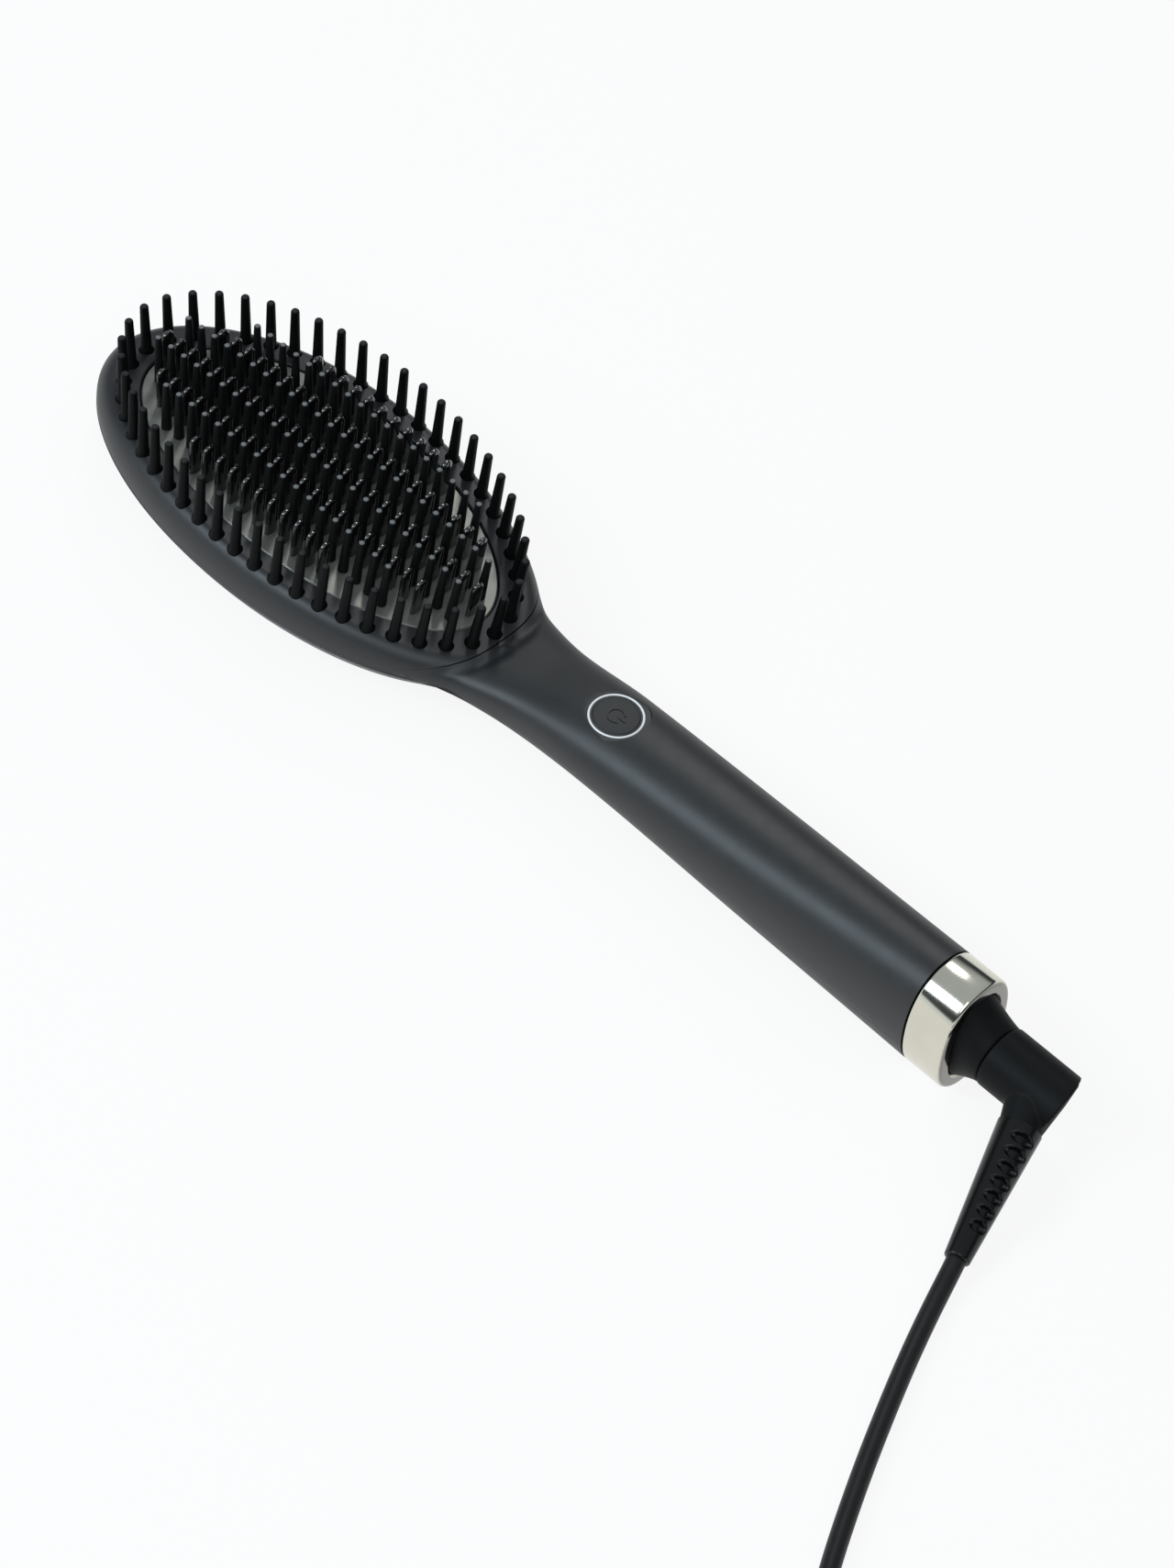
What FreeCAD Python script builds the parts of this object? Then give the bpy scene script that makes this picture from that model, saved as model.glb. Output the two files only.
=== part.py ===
"""A heated styling brush lying on its back, bristles up, with its swivel cord put away in a coil.

Millimetres. X runs along the brush from the head's tip to the cord, Z is up, the table is Z = 0.
The solids are first made about the head's centre, then moved so that the origin lies under the middle
of the brush.
"""
import FreeCAD, Part
import math
import os

Vector = FreeCAD.Vector
X_AXIS = Vector(1, 0, 0)
Y_AXIS = Vector(0, 1, 0)
Z_AXIS = Vector(0, 0, 1)

# Fits shared by the whole brush
running_clearance = 0.3
overrun = 1.0
flatness = 1e-6

# Head, measured from its centre
head_half_length = 69.5
head_half_width = 35.0
head_height = 24.2
head_seam_height = 14.2
dome_radius = 500.0
bezel_shoulder = 1.9
bezel_shoulder_edge = 0.7
back_flat_half_length = 46.0
back_flat_half_width = 20.0
back_height_shares = (0, 0.06, 0.2, 0.5, 1)
back_reach_shares = (0, 0.22, 0.45, 0.7, 1)
back_sides = 64
heater_bay_half_length = 50.0
heater_bay_half_width = 19.0
heater_bay_floor = 4.0

# Heater plate in the bezel
plate_ring_gap = 4.8
plate_thickness = 3.0
plate_inset = 0.4
plate_ledge = 2.8

# Heater below the plate
element_end_gap = 3.0
element_width = 14.0
element_thickness = 2.4
insulator_length = 76.0
insulator_width = 18.0
insulator_thickness = 2.0
clamp_length = 60.0
clamp_width = 12.0
clamp_thickness = 1.2
clamp_leg_width = 5.0
sensor_length = 5.0
sensor_width = 4.0
sensor_thickness = 2.6
sensor_gap = 0.5
fuse_length = 12.0
fuse_radius = 1.8
fuse_offset = 14.0

# Bristles and heated fins
bristle_sides = 5
bristle_pitch = 4.43
row_pitch = 5.1
array_inset = 2.9
inner_bristle_height = 14.5
inner_bristle_base_radius = 1.35
inner_bristle_tip_radius = 0.85
fin_height = 11.5
fin_length = 3.8
fin_thickness = 1.6
fin_bevel = 1.1
ring_end_inset = 8.3
ring_side_inset = 3.9
outer_bristle_count = 46
outer_bristle_height = 14.7
outer_bristle_base_radius = 1.4
outer_bristle_tip_radius = 1.1
outer_bristle_dome = 0.9
outer_bristle_top_share = 0.45

# Handle: distance from the head's centre, half width, underside, top and squareness at each station
root_x = 51.0
root_half_width = 21.5
root_bottom = 9.5
root_top = 18.6
neck_x = 77.0
neck_half_width = 13.6
neck_bottom = 8.0
neck_top = 22.2
button_x = 101.5
button_half_width = 13.3
button_bottom = 7.6
button_top = 27.0
grip_x = 156.0
grip_half_width = 12.8
grip_bottom = 4.0
grip_top = 30.4
end_x = 206.5
end_half_width = 11.6
end_height = 33.6
handle_seam_height = 11.0
round_squareness = 2.0
grip_squareness = 2.3
neck_squareness = 2.8
root_squareness = 2.6
section_sides = 32
handle_steps = 16

# Control board in the handle
bay_start_x = 87.0
bay_end_x = 167.0
bay_half_width = 9.4
bay_ceiling = 20.0
board_end_gap = 0.5
board_thickness = 1.6
switch_size = 6.0
switch_height = 3.4
switch_plunger_radius = 1.75
switch_plunger_height = 0.8
can_sides = 16
buzzer_radius = 4.5
buzzer_height = 4.5
buzzer_offset = 18.0
capacitor_radius = 4.0
capacitor_height = 6.5
capacitor_offset = 32.0
triac_length = 10.0
triac_width = 8.0
triac_height = 4.5
triac_offset = 48.0

# Power button in its recess
button_travel = 0.5
button_radius = 6.0
button_flange_radius = 7.2
button_flange_thickness = 1.2
button_stem_radius = 2.2
button_edge = 0.4
button_press_gap = 0.1
ring_width = 0.7
ring_depth = 3.2
ring_lift = 0.2
recess_radius = 8.4
recess_depth = 1.2

# Collar and swivel at the cord end
collar_length = 12.0
collar_wall = 3.6
collar_chamfer = 0.5
boss_length = 19.5
boss_end_radius = 7.1
boss_foot_gap = 0.4
boss_neck_half_width = 7.5
boss_neck_half_height = 8.8
boss_neck_length = 15.5
spindle_radius = 4.0
spindle_flange_radius = 6.2
spindle_flange_thickness = 2.8
spindle_pocket_depth = 8.0
elbow_length = 18.7
elbow_radius = 7.3
elbow_edge = 1.6
branch_offset = 12.4
branch_root_depth = 4.6
branch_root_half_length = 8.1
branch_root_half_width = 5.2
branch_waist_reach = 1.0
branch_waist_half_length = 7.1
branch_waist_half_width = 6.9
branch_end_radius = 5.1
branch_reach = 11.1
exit_down_angle = 15.0
exit_forward_angle = 19.5
relief_length = 37.0
relief_start_radius = 4.9
relief_end_radius = 3.4
relief_sides = 16

# Cord, its coil, the tie and the plug
cord_diameter = 4.8
cord_sides = 4
cord_exit_gap = 0.85
cord_exit_run = 15.0
cord_floor_gap = 0.05
cord_route = (
    (177.6, -75.2), (189.6, -101.2), (203.2, -127.2), (219.0, -151.4), (235.1, -170.6),
)
coil_middle_radius = 28.8
coil_turns_per_layer = 3.75
coil_gap = 0.5
arc_share = 0.45
tail_run = 14.0
tail_runs = 3
tail_turn = 12.0
tie_thickness = 1.0
tie_width = 9.0
tie_clearance = 0.35
tie_side_clearance = 0.7
plug_width = 26.0
plug_length = 30.0
plug_edge = 4.0
plug_pin_radius = 2.0
plug_pin_spacing = 19.0
plug_pin_length = 19.0

# Places worked out from the sizes
outer_ring_half_length = head_half_length - ring_end_inset
outer_ring_half_width = head_half_width - ring_side_inset
plate_half_length = outer_ring_half_length - plate_ring_gap
plate_half_width = outer_ring_half_width - plate_ring_gap
array_half_length = plate_half_length - array_inset
array_half_width = plate_half_width - array_inset
element_length = insulator_length - 2 * element_end_gap
dome_centre = Vector(0, 0, head_height - dome_radius)
plate_top_radius = dome_radius - plate_inset
plate_bottom_radius = plate_top_radius - plate_thickness
swivel_height = end_height / 2
collar_end_x = end_x + collar_length
boss_end_x = end_x + boss_length
elbow_start_x = boss_end_x + running_clearance
bore_radius = spindle_radius + running_clearance
ring_inner_radius = button_radius + running_clearance
ring_outer_radius = ring_inner_radius + ring_width
recess_floor = button_top - recess_depth
board_top = handle_seam_height + board_thickness
plunger_top = board_top + switch_height + switch_plunger_height
cord_radius = cord_diameter / 2
cord_sector = cord_sides / 2 * math.sin(2 * math.pi / cord_sides)
coil_pitch = cord_diameter + coil_gap
handle_stations = (
    (root_x, root_half_width, root_bottom, root_top, root_squareness),
    (neck_x, neck_half_width, neck_bottom, neck_top, neck_squareness),
    (button_x, button_half_width, button_bottom, button_top, grip_squareness),
    (grip_x, grip_half_width, grip_bottom, grip_top, grip_squareness),
    (end_x, end_half_width, 0, end_height, grip_squareness),
)

nodes = {}


def oval_prism(half_length, half_width, bottom, top):
    """An upright prism on an oval about the head's centre."""
    oval = Part.Ellipse(Vector(0, 0, bottom), half_length, half_width)
    return Part.Face(Part.Wire(oval.toShape())).extrude(Vector(0, 0, top - bottom))


def dome_solid(radius):
    """The round bar, lying across the brush, whose top is the dome of the head."""
    start = dome_centre - Vector(0, head_half_width + overrun, 0)
    solid = Part.makeCylinder(radius, 2 * (head_half_width + overrun), start, Y_AXIS)
    solid.rotate(dome_centre, Y_AXIS, 180)
    return solid


def block(length, width, height, centre_x, centre_y, bottom):
    """An upright block centred on a point of the plan."""
    corner = Vector(centre_x - length / 2, centre_y - width / 2, bottom)
    return Part.makeBox(length, width, height, corner)


def post(radius, height, x, bottom):
    """An upright cylinder on the brush's middle line."""
    return Part.makeCylinder(radius, height, Vector(x, 0, bottom), Z_AXIS)


def bar(radius, start_x, length):
    """A cylinder along the swivel's axis."""
    return Part.makeCylinder(radius, length, Vector(start_x, 0, swivel_height), X_AXIS)


def side_faces(a, b, c, d):
    """One flat face through four corners, or two where they don't lie in one plane."""
    across = (b - a).cross(c - a)
    if abs(across.normalize() * (d - a)) < flatness:
        return [Part.Face(Part.makePolygon([a, b, c, d, a]))]
    return [Part.Face(Part.makePolygon([a, b, c, a])), Part.Face(Part.makePolygon([a, c, d, a]))]


def skin(rings):
    """A flat-faced solid through rings of points, closed at the first and the last."""
    faces = [Part.Face(Part.makePolygon(ring + ring[:1])) for ring in (rings[0], rings[-1])]
    for near, far in zip(rings, rings[1:]):
        for i in range(len(near)):
            faces += side_faces(near[i - 1], near[i], far[i], far[i - 1])
    shell = Part.makeShell(faces)
    shell.sewShape()
    solid = Part.makeSolid(shell)
    if solid.Volume < 0:
        solid.reverse()
    return solid


def polygon(radius, sides, height):
    """The corners of a regular polygon about the Z axis, with a flat side towards +X."""
    angles = [2 * math.pi * (i + 1 / 2) / sides for i in range(sides)]
    return [Vector(radius * math.cos(angle), radius * math.sin(angle), height) for angle in angles]


def handle_section(x, half_width, bottom, top, squareness):
    """One cross-section of the handle, an oval at a squareness of two and boxier above that."""
    half_height = (top - bottom) / 2
    points = []
    for i in range(section_sides):
        angle = 2 * math.pi * i / section_sides
        across = math.copysign(abs(math.cos(angle)) ** (2 / squareness), math.cos(angle))
        upward = math.copysign(abs(math.sin(angle)) ** (2 / squareness), math.sin(angle))
        points.append(Vector(x, half_width * across, bottom + half_height * (1 + upward)))
    return points


def along_handle(x):
    """Half width, underside, top and squareness of the handle at x, on curves through its stations."""
    last = len(handle_stations) - 1
    i = max(k for k in range(last) if k == 0 or handle_stations[k][0] <= x)
    start, end = handle_stations[i], handle_stations[i + 1]
    before, after = handle_stations[max(i - 1, 0)], handle_stations[min(i + 2, last)]
    span = end[0] - start[0]
    t = (x - start[0]) / span
    values = []
    for k in range(1, len(start)):
        start_slope = span * (end[k] - before[k]) / (end[0] - before[0])
        end_slope = span * (after[k] - start[k]) / (after[0] - start[0])
        values.append((2 * t ** 3 - 3 * t ** 2 + 1) * start[k] + (t ** 3 - 2 * t ** 2 + t) * start_slope
                      + (3 * t ** 2 - 2 * t ** 3) * end[k] + (t ** 3 - t ** 2) * end_slope)
    return values


def on_dome(shape, x, y, radius):
    """Stand a shape, made upright on Z = 0, on the dome at a place of the plan."""
    placed = shape.copy()
    placed.translate(Vector(0, y, dome_centre.z + radius))
    placed.rotate(dome_centre, Y_AXIS, math.degrees(math.asin(x / radius)))
    return placed


def make_head():
    """Back shell, bezel and the plate that sits on the bezel's ledge. Returns the head's outer forms."""
    levels = []
    for height_share, reach_share in zip(back_height_shares, back_reach_shares):
        half_length = back_flat_half_length + reach_share * (head_half_length - back_flat_half_length)
        half_width = back_flat_half_width + reach_share * (head_half_width - back_flat_half_width)
        circle = polygon(1, back_sides, height_share * head_seam_height)
        levels.append([Vector(half_length * p.x, half_width * p.y, p.z) for p in circle])
    back = skin(levels)
    bay = oval_prism(heater_bay_half_length, heater_bay_half_width, heater_bay_floor,
                     head_seam_height + overrun)
    nodes["head_back_shell"] = back.cut(bay)

    blank = oval_prism(head_half_length, head_half_width, head_seam_height, head_height + overrun)
    blank = blank.common(dome_solid(dome_radius))
    rim = max(blank.Edges, key=lambda edge: edge.CenterOfMass.z)
    blank = blank.makeChamfer(bezel_shoulder, [rim])
    shoulder = sorted(blank.Edges, key=lambda edge: edge.CenterOfMass.z)[-2:]
    blank = blank.makeChamfer(bezel_shoulder_edge, shoulder)
    head = [back, blank]
    seat = oval_prism(plate_half_length + running_clearance, plate_half_width + running_clearance,
                      head_seam_height, head_height + overrun)
    seat = seat.cut(dome_solid(plate_bottom_radius))
    well = oval_prism(plate_half_length - plate_ledge, plate_half_width - plate_ledge,
                      head_seam_height - overrun, head_height + overrun)
    nodes["front_bezel"] = blank.cut(seat).cut(well)

    plate = oval_prism(plate_half_length, plate_half_width, head_seam_height, head_height + overrun)
    plate = plate.common(dome_solid(plate_top_radius))
    nodes["heater_plate"] = plate.cut(dome_solid(plate_bottom_radius))
    return head


def make_heater():
    """Heating element, insulator, clamp, sensor and fuse under the plate."""
    under_plate = dome_solid(plate_bottom_radius)
    crown = dome_centre.z + plate_bottom_radius
    sag = crown - (dome_centre.z + math.sqrt(plate_bottom_radius ** 2 - (element_length / 2) ** 2))
    element_bottom = crown - sag - element_thickness
    element = block(element_length, element_width, crown - element_bottom + overrun, 0, 0, element_bottom)
    nodes["ceramic_heater"] = element.common(under_plate)

    insulator_bottom = element_bottom - insulator_thickness
    nodes["heater_insulator"] = block(insulator_length, insulator_width, insulator_thickness,
                                      0, 0, insulator_bottom)

    strip_bottom = insulator_bottom - clamp_thickness
    clamp = block(clamp_length, clamp_width, clamp_thickness, 0, 0, strip_bottom)
    for side in (-1, 1):
        leg_x = side * (clamp_length - clamp_leg_width) / 2
        leg = block(clamp_leg_width, clamp_width, strip_bottom - heater_bay_floor, leg_x, 0, heater_bay_floor)
        clamp = clamp.fuse(leg)
    nodes["heater_clamp"] = clamp.removeSplitter()

    sensor_x = insulator_length / 2 + sensor_gap + sensor_length / 2
    sensor_end = sensor_x + sensor_length / 2
    sensor_bottom = dome_centre.z + math.sqrt(plate_bottom_radius ** 2 - sensor_end ** 2) - sensor_thickness
    sensor = block(sensor_length, sensor_width, crown - sensor_bottom + overrun, sensor_x, 0, sensor_bottom)
    nodes["temperature_sensor"] = sensor.common(under_plate)

    fuse_height = dome_centre.z + math.sqrt(plate_bottom_radius ** 2 - (fuse_length / 2) ** 2) - fuse_radius
    start = Vector(-fuse_length / 2, fuse_offset, fuse_height)
    nodes["thermal_fuse"] = Part.makeCylinder(fuse_radius, fuse_length, start, X_AXIS)


def make_bristles():
    """Rows of fins and inner bristles on the plate, and the ring of outer bristles on the bezel."""
    half = fin_length / 2
    outline = [(-half, 0), (half, 0), (half, fin_height - fin_bevel), (half - fin_bevel, fin_height),
               (fin_bevel - half, fin_height), (-half, fin_height - fin_bevel)]
    corners = [Vector(-fin_thickness / 2, y, z) for y, z in outline]
    fin = Part.Face(Part.makePolygon(corners + corners[:1])).extrude(Vector(fin_thickness, 0, 0))
    inner = skin([polygon(inner_bristle_base_radius, bristle_sides, 0),
                  polygon(inner_bristle_tip_radius, bristle_sides, inner_bristle_height)])
    outer = skin([polygon(outer_bristle_base_radius, bristle_sides, 0),
                  polygon(outer_bristle_tip_radius, bristle_sides, outer_bristle_height - outer_bristle_dome),
                  polygon(outer_bristle_tip_radius * outer_bristle_top_share, bristle_sides,
                          outer_bristle_height)])

    row_count = int(array_half_width / row_pitch)
    for row in range(-row_count, row_count + 1):
        y = row * row_pitch
        reach = array_half_length * math.sqrt(1 - (y / array_half_width) ** 2)
        is_fin_row = row % 2 == 0
        shift = 0 if is_fin_row else bristle_pitch / 2
        first = -int((reach + shift) / bristle_pitch)
        places = [shift + i * bristle_pitch for i in range(first, 1 - first)]
        places = [x for x in places if abs(x) <= reach]
        shape = fin if is_fin_row else inner
        kind = "heating_fins" if is_fin_row else "inner_bristles"
        rows = [on_dome(shape, x, y, plate_top_radius) for x in places]
        nodes[f"{kind}_row_{row + row_count + 1}"] = Part.makeCompound(rows)

    ring = Part.Ellipse(Vector(0, 0, 0), outer_ring_half_length, outer_ring_half_width).toShape()
    places = ring.discretize(outer_bristle_count + 1)[:-1]
    nodes["outer_bristles"] = Part.makeCompound([on_dome(outer, p.x, p.y, dome_radius) for p in places])


def make_handle(head):
    """Upper and lower handle shells, from the head to the collar."""
    step = (end_x - root_x) / handle_steps
    places = [root_x + i * step for i in range(handle_steps + 1)]
    body = skin([handle_section(x, *along_handle(x)) for x in places])
    body = body.cut(head)
    body = body.cut(bar(spindle_flange_radius + running_clearance, end_x - spindle_pocket_depth,
                        spindle_pocket_depth + overrun))

    reach = end_x + overrun
    below = Part.makeBox(reach, head_half_width * 2, handle_seam_height + overrun,
                         Vector(0, -head_half_width, -overrun))
    nodes["handle_back_shell"] = body.common(below)

    cover = body.cut(below)
    bay_length = bay_end_x - bay_start_x
    bay = block(bay_length, bay_half_width * 2, bay_ceiling - handle_seam_height + overrun,
                bay_start_x + bay_length / 2, 0, handle_seam_height - overrun)
    cover = cover.cut(bay)
    cover = cover.cut(post(recess_radius, end_height, button_x, recess_floor))
    ledge_height = recess_floor + ring_lift - ring_depth
    cover = cover.cut(post(ring_outer_radius, end_height, button_x, ledge_height))
    nodes["handle_cover"] = cover.cut(post(ring_inner_radius, end_height, button_x, handle_seam_height))


def can(radius, height, x):
    """A round component standing on the board."""
    solid = skin([polygon(radius, can_sides, 0), polygon(radius, can_sides, height)])
    return solid.translated(Vector(x, 0, board_top))


def make_control_board():
    """Board on the lower shell with its switch, buzzer, capacitor and triac."""
    length = bay_end_x - bay_start_x - 2 * board_end_gap
    middle = (bay_start_x + bay_end_x) / 2
    width = 2 * (bay_half_width - board_end_gap)
    nodes["control_board"] = block(length, width, board_thickness, middle, 0, handle_seam_height)

    switch = block(switch_size, switch_size, switch_height, button_x, 0, board_top)
    plunger = post(switch_plunger_radius, switch_plunger_height, button_x, board_top + switch_height)
    nodes["tact_switch"] = switch.fuse(plunger)
    nodes["buzzer"] = can(buzzer_radius, buzzer_height, button_x + buzzer_offset)
    nodes["supply_capacitor"] = can(capacitor_radius, capacitor_height, button_x + capacitor_offset)
    nodes["triac"] = block(triac_length, triac_width, triac_height, button_x + triac_offset, 0, board_top)


def make_button():
    """Light ring on its ledge and the button that slides inside it."""
    ring_bottom = recess_floor + ring_lift - ring_depth
    ring = post(ring_outer_radius, ring_depth, button_x, ring_bottom)
    nodes["light_ring"] = ring.cut(post(ring_inner_radius, ring_depth + overrun, button_x, ring_bottom))

    flange_top = bay_ceiling - running_clearance
    flange_bottom = flange_top - button_flange_thickness
    stem_bottom = plunger_top + button_travel + button_press_gap
    cap = post(button_radius, recess_floor + ring_lift - flange_bottom, button_x, flange_bottom)
    top_edge = max(cap.Edges, key=lambda edge: edge.CenterOfMass.z)
    cap = cap.makeChamfer(button_edge, [top_edge])
    flange = post(button_flange_radius, button_flange_thickness, button_x, flange_bottom)
    stem = post(button_stem_radius, flange_top - stem_bottom, button_x, stem_bottom)
    nodes["power_button"] = cap.fuse(flange).fuse(stem).removeSplitter()


def make_collar():
    """Polished collar and the boss that carries the swivel."""
    rings = []
    for x, inset in ((end_x, collar_chamfer), (end_x + collar_chamfer, 0),
                     (collar_end_x - collar_chamfer, 0), (collar_end_x, collar_chamfer)):
        rings.append(handle_section(x, end_half_width - inset, inset, end_height - inset, grip_squareness))
    window = []
    for x in (end_x - overrun, collar_end_x + overrun):
        window.append(handle_section(x, end_half_width - collar_wall, collar_wall, end_height - collar_wall,
                                     grip_squareness))
    nodes["end_collar"] = skin(rings).cut(skin(window))

    foot_half_width = end_half_width - collar_wall - boss_foot_gap
    foot_half_height = swivel_height - collar_wall - boss_foot_gap
    boss_sizes = (
        (end_x, foot_half_width, foot_half_height),
        (collar_end_x, foot_half_width, foot_half_height),
        (end_x + boss_neck_length, boss_neck_half_width, boss_neck_half_height),
        (boss_end_x, boss_end_radius, boss_end_radius),
    )
    rings = []
    for x, half_width, half_height in boss_sizes:
        rings.append(handle_section(x, half_width, swivel_height - half_height, swivel_height + half_height,
                                    round_squareness))
    boss = skin(rings)
    nodes["swivel_boss"] = boss.cut(bar(bore_radius, end_x - overrun, boss_length + 2 * overrun))


def exit_direction():
    """The way the cord leaves the elbow."""
    down = math.radians(exit_down_angle)
    forward = math.radians(exit_forward_angle)
    return Vector(math.cos(down) * math.sin(forward), -math.cos(down) * math.cos(forward), -math.sin(down))


def branch_foot():
    """Where the branch leaves the swivel's axis."""
    return Vector(elbow_start_x + branch_offset, 0, swivel_height)


def make_swivel():
    """Spindle, elbow and strain relief, which turn together about the handle's axis."""
    flange_end = end_x - running_clearance
    spindle = bar(spindle_flange_radius, flange_end - spindle_flange_thickness, spindle_flange_thickness)
    nodes["swivel_spindle"] = spindle.fuse(bar(spindle_radius, flange_end, elbow_start_x - flange_end))

    knuckle = bar(elbow_radius, elbow_start_x, elbow_length)
    end_edge = max(knuckle.Edges, key=lambda edge: edge.CenterOfMass.x)
    knuckle = knuckle.makeChamfer(elbow_edge, [end_edge])
    branch_sizes = (
        (-branch_root_depth, branch_root_half_length, branch_root_half_width),
        (branch_waist_reach, branch_waist_half_length, branch_waist_half_width),
        (branch_reach, branch_end_radius, branch_end_radius),
    )
    rings = []
    for reach, half_length, half_width in branch_sizes:
        circle = polygon(1, relief_sides, reach)
        rings.append([Vector(half_length * p.x, half_width * p.y, p.z) for p in circle])
    branch = skin(rings)
    leaving = exit_direction()
    turn = FreeCAD.Rotation(X_AXIS, leaving.cross(X_AXIS), leaving, "ZXY")
    branch.Placement = FreeCAD.Placement(branch_foot(), turn)
    nodes["cord_elbow"] = knuckle.fuse(branch)

    relief = skin([polygon(relief_start_radius, relief_sides, 0),
                   polygon(relief_end_radius, relief_sides, relief_length)])
    relief.Placement = FreeCAD.Placement(branch_foot() + leaving * branch_reach, turn)
    nodes["strain_relief"] = relief


def move_to_origin():
    """Put the origin on the table under the middle of the brush without its cord, and return the move."""
    box = FreeCAD.BoundBox()
    for name, shape in nodes.items():
        if name != "strain_relief":
            box.add(shape.optimalBoundingBox(False))
    move = Vector(-box.Center.x, -box.Center.y, -box.ZMin)
    for name, shape in nodes.items():
        nodes[name] = shape.translated(move)
    return move


def arc_between(start, corner, end):
    """The arc that touches both sides of a corner, at equal distances from it."""
    half_turn_cosine = (corner - start).normalize() * (end - start).normalize()
    middle = (start + end + corner * (2 * half_turn_cosine)) * (1 / (2 + 2 * half_turn_cosine))
    return Part.Arc(start, middle, end).toShape()


def tube(edges, start, direction):
    """A faceted cord along a path, with as large a section as the round one."""
    corners = polygon(cord_radius * math.sqrt(math.pi / cord_sector), cord_sides, 0)
    profile = Part.makePolygon(corners + corners[:1])
    turn = FreeCAD.Rotation(Z_AXIS, Z_AXIS.cross(direction), direction, "ZXY")
    profile.Placement = FreeCAD.Placement(start, turn)
    return Part.Wire(edges).makePipeShell([profile], True, False)


def free_cord(points, name):
    """A free stretch of cord, as straight runs joined by arcs. Returns its end and direction."""
    edges = []
    radii = []
    last = points[0]
    for before, corner, after in zip(points, points[1:], points[2:]):
        into = (corner - before).normalize()
        out = (after - corner).normalize()
        turn = into.getAngle(out)
        trim = arc_share * min(before.distanceToPoint(corner), corner.distanceToPoint(after))
        radii.append(trim / math.tan(turn / 2))
        arc_start = corner - into * trim
        arc_end = corner + out * trim
        edges.append(Part.LineSegment(last, arc_start).toShape())
        edges.append(arc_between(arc_start, corner, arc_end))
        last = arc_end
    edges.append(Part.LineSegment(last, points[-1]).toShape())
    solid = tube(edges, points[0], (points[1] - points[0]).normalize())
    nodes[name] = solid

    length = sum(edge.Length for edge in edges)
    section = math.pi * cord_radius ** 2
    print(name, "points", [tuple(round(value, 2) for value in p) for p in points])
    print(name, "radii in diameters", [round(radius / cord_diameter, 1) for radius in radii])
    print(name, "length", round(length, 1), "volume ratio", round(solid.Volume / (section * length), 4))
    return points[-1], (points[-1] - points[-2]).normalize()


def make_lead(move):
    """The cord from the strain relief, over the table, to the coil."""
    leaving = exit_direction()
    exit_point = branch_foot() + leaving * (branch_reach + relief_length + cord_exit_gap) + move
    floor_height = cord_radius + cord_floor_gap
    points = [exit_point, exit_point + leaving * cord_exit_run]
    points += [Vector(x, y, floor_height) for x, y in cord_route]
    points[1].z = floor_height
    points[-2].z = coil_bottom_height()
    points[-1].z = coil_bottom_height()
    return free_cord(points, "cord_lead")


def make_tail(start, way):
    """The cord from the coil's upper layer to the plug, bending away from the coil."""
    points = [start]
    heading = math.atan2(way.y, way.x)
    for run in range(tail_runs):
        angle = heading - run * math.radians(tail_turn)
        points.append(points[-1] + Vector(math.cos(angle), math.sin(angle), 0) * tail_run)
    return free_cord(points, "cord_tail")


def coil_bottom_height():
    """Height of the lower layer's middle: the tie passes under it."""
    return tie_thickness + tie_clearance + cord_radius


def coil_point(turns, centre, start_angle):
    """A point of the two-layer spiral, in to the middle and out again, after a number of turns."""
    from_reversal = turns - coil_turns_per_layer
    radius = coil_inner_radius() + coil_pitch * abs(from_reversal)
    rise = min(max((from_reversal + 1 / 4) * 2, 0), 1)
    angle = start_angle + 2 * math.pi * turns
    return centre + Vector(radius * math.cos(angle), radius * math.sin(angle), coil_pitch * rise)


def coil_inner_radius():
    return coil_middle_radius - coil_pitch * coil_turns_per_layer / 2


def coil_outer_radius():
    return coil_middle_radius + coil_pitch * coil_turns_per_layer / 2


def biarc(start, start_way, end, end_way):
    """Two arcs that leave one point and reach the next in the given directions."""
    across = end - start
    both = start_way + end_way
    spread = 2 * (1 - start_way * end_way)
    along = across * both
    reach = (math.sqrt(along ** 2 + spread * (across * across)) - along) / spread
    first_corner = start + start_way * reach
    second_corner = end - end_way * reach
    joint = (first_corner + second_corner) / 2
    return [arc_between(start, first_corner, joint), arc_between(joint, second_corner, end)]


def make_coil(start, heading):
    """The rest of the cord in a two-layer coil. Returns its end, direction and centre."""
    level = Vector(heading.x, heading.y, 0).normalize()
    left = Z_AXIS.cross(level)
    entry = start + level * cord_diameter
    centre = entry + left * coil_outer_radius()
    start_angle = math.atan2(entry.y - centre.y, entry.x - centre.x)
    total_turns = 2 * coil_turns_per_layer
    quarter = 1 / 4
    step = 1 / 1000

    knots = [coil_point(i * quarter, centre, start_angle) for i in range(int(total_turns / quarter) + 1)]
    ways = []
    for i in range(len(knots)):
        ahead = coil_point(i * quarter + step, centre, start_angle)
        behind = coil_point(i * quarter - step, centre, start_angle)
        ways.append((ahead - behind).normalize())
    ways[0] = level
    ways[-1].z = 0
    ways[-1].normalize()
    edges = [Part.LineSegment(start, entry).toShape()]
    for i in range(len(knots) - 1):
        edges += biarc(knots[i], ways[i], knots[i + 1], ways[i + 1])
    end = knots[-1] + ways[-1] * cord_diameter
    edges.append(Part.LineSegment(knots[-1], end).toShape())
    nodes["cord_coil"] = tube(edges, start, level)
    report_coil(edges)
    return end, ways[-1], centre, start_angle


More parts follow.
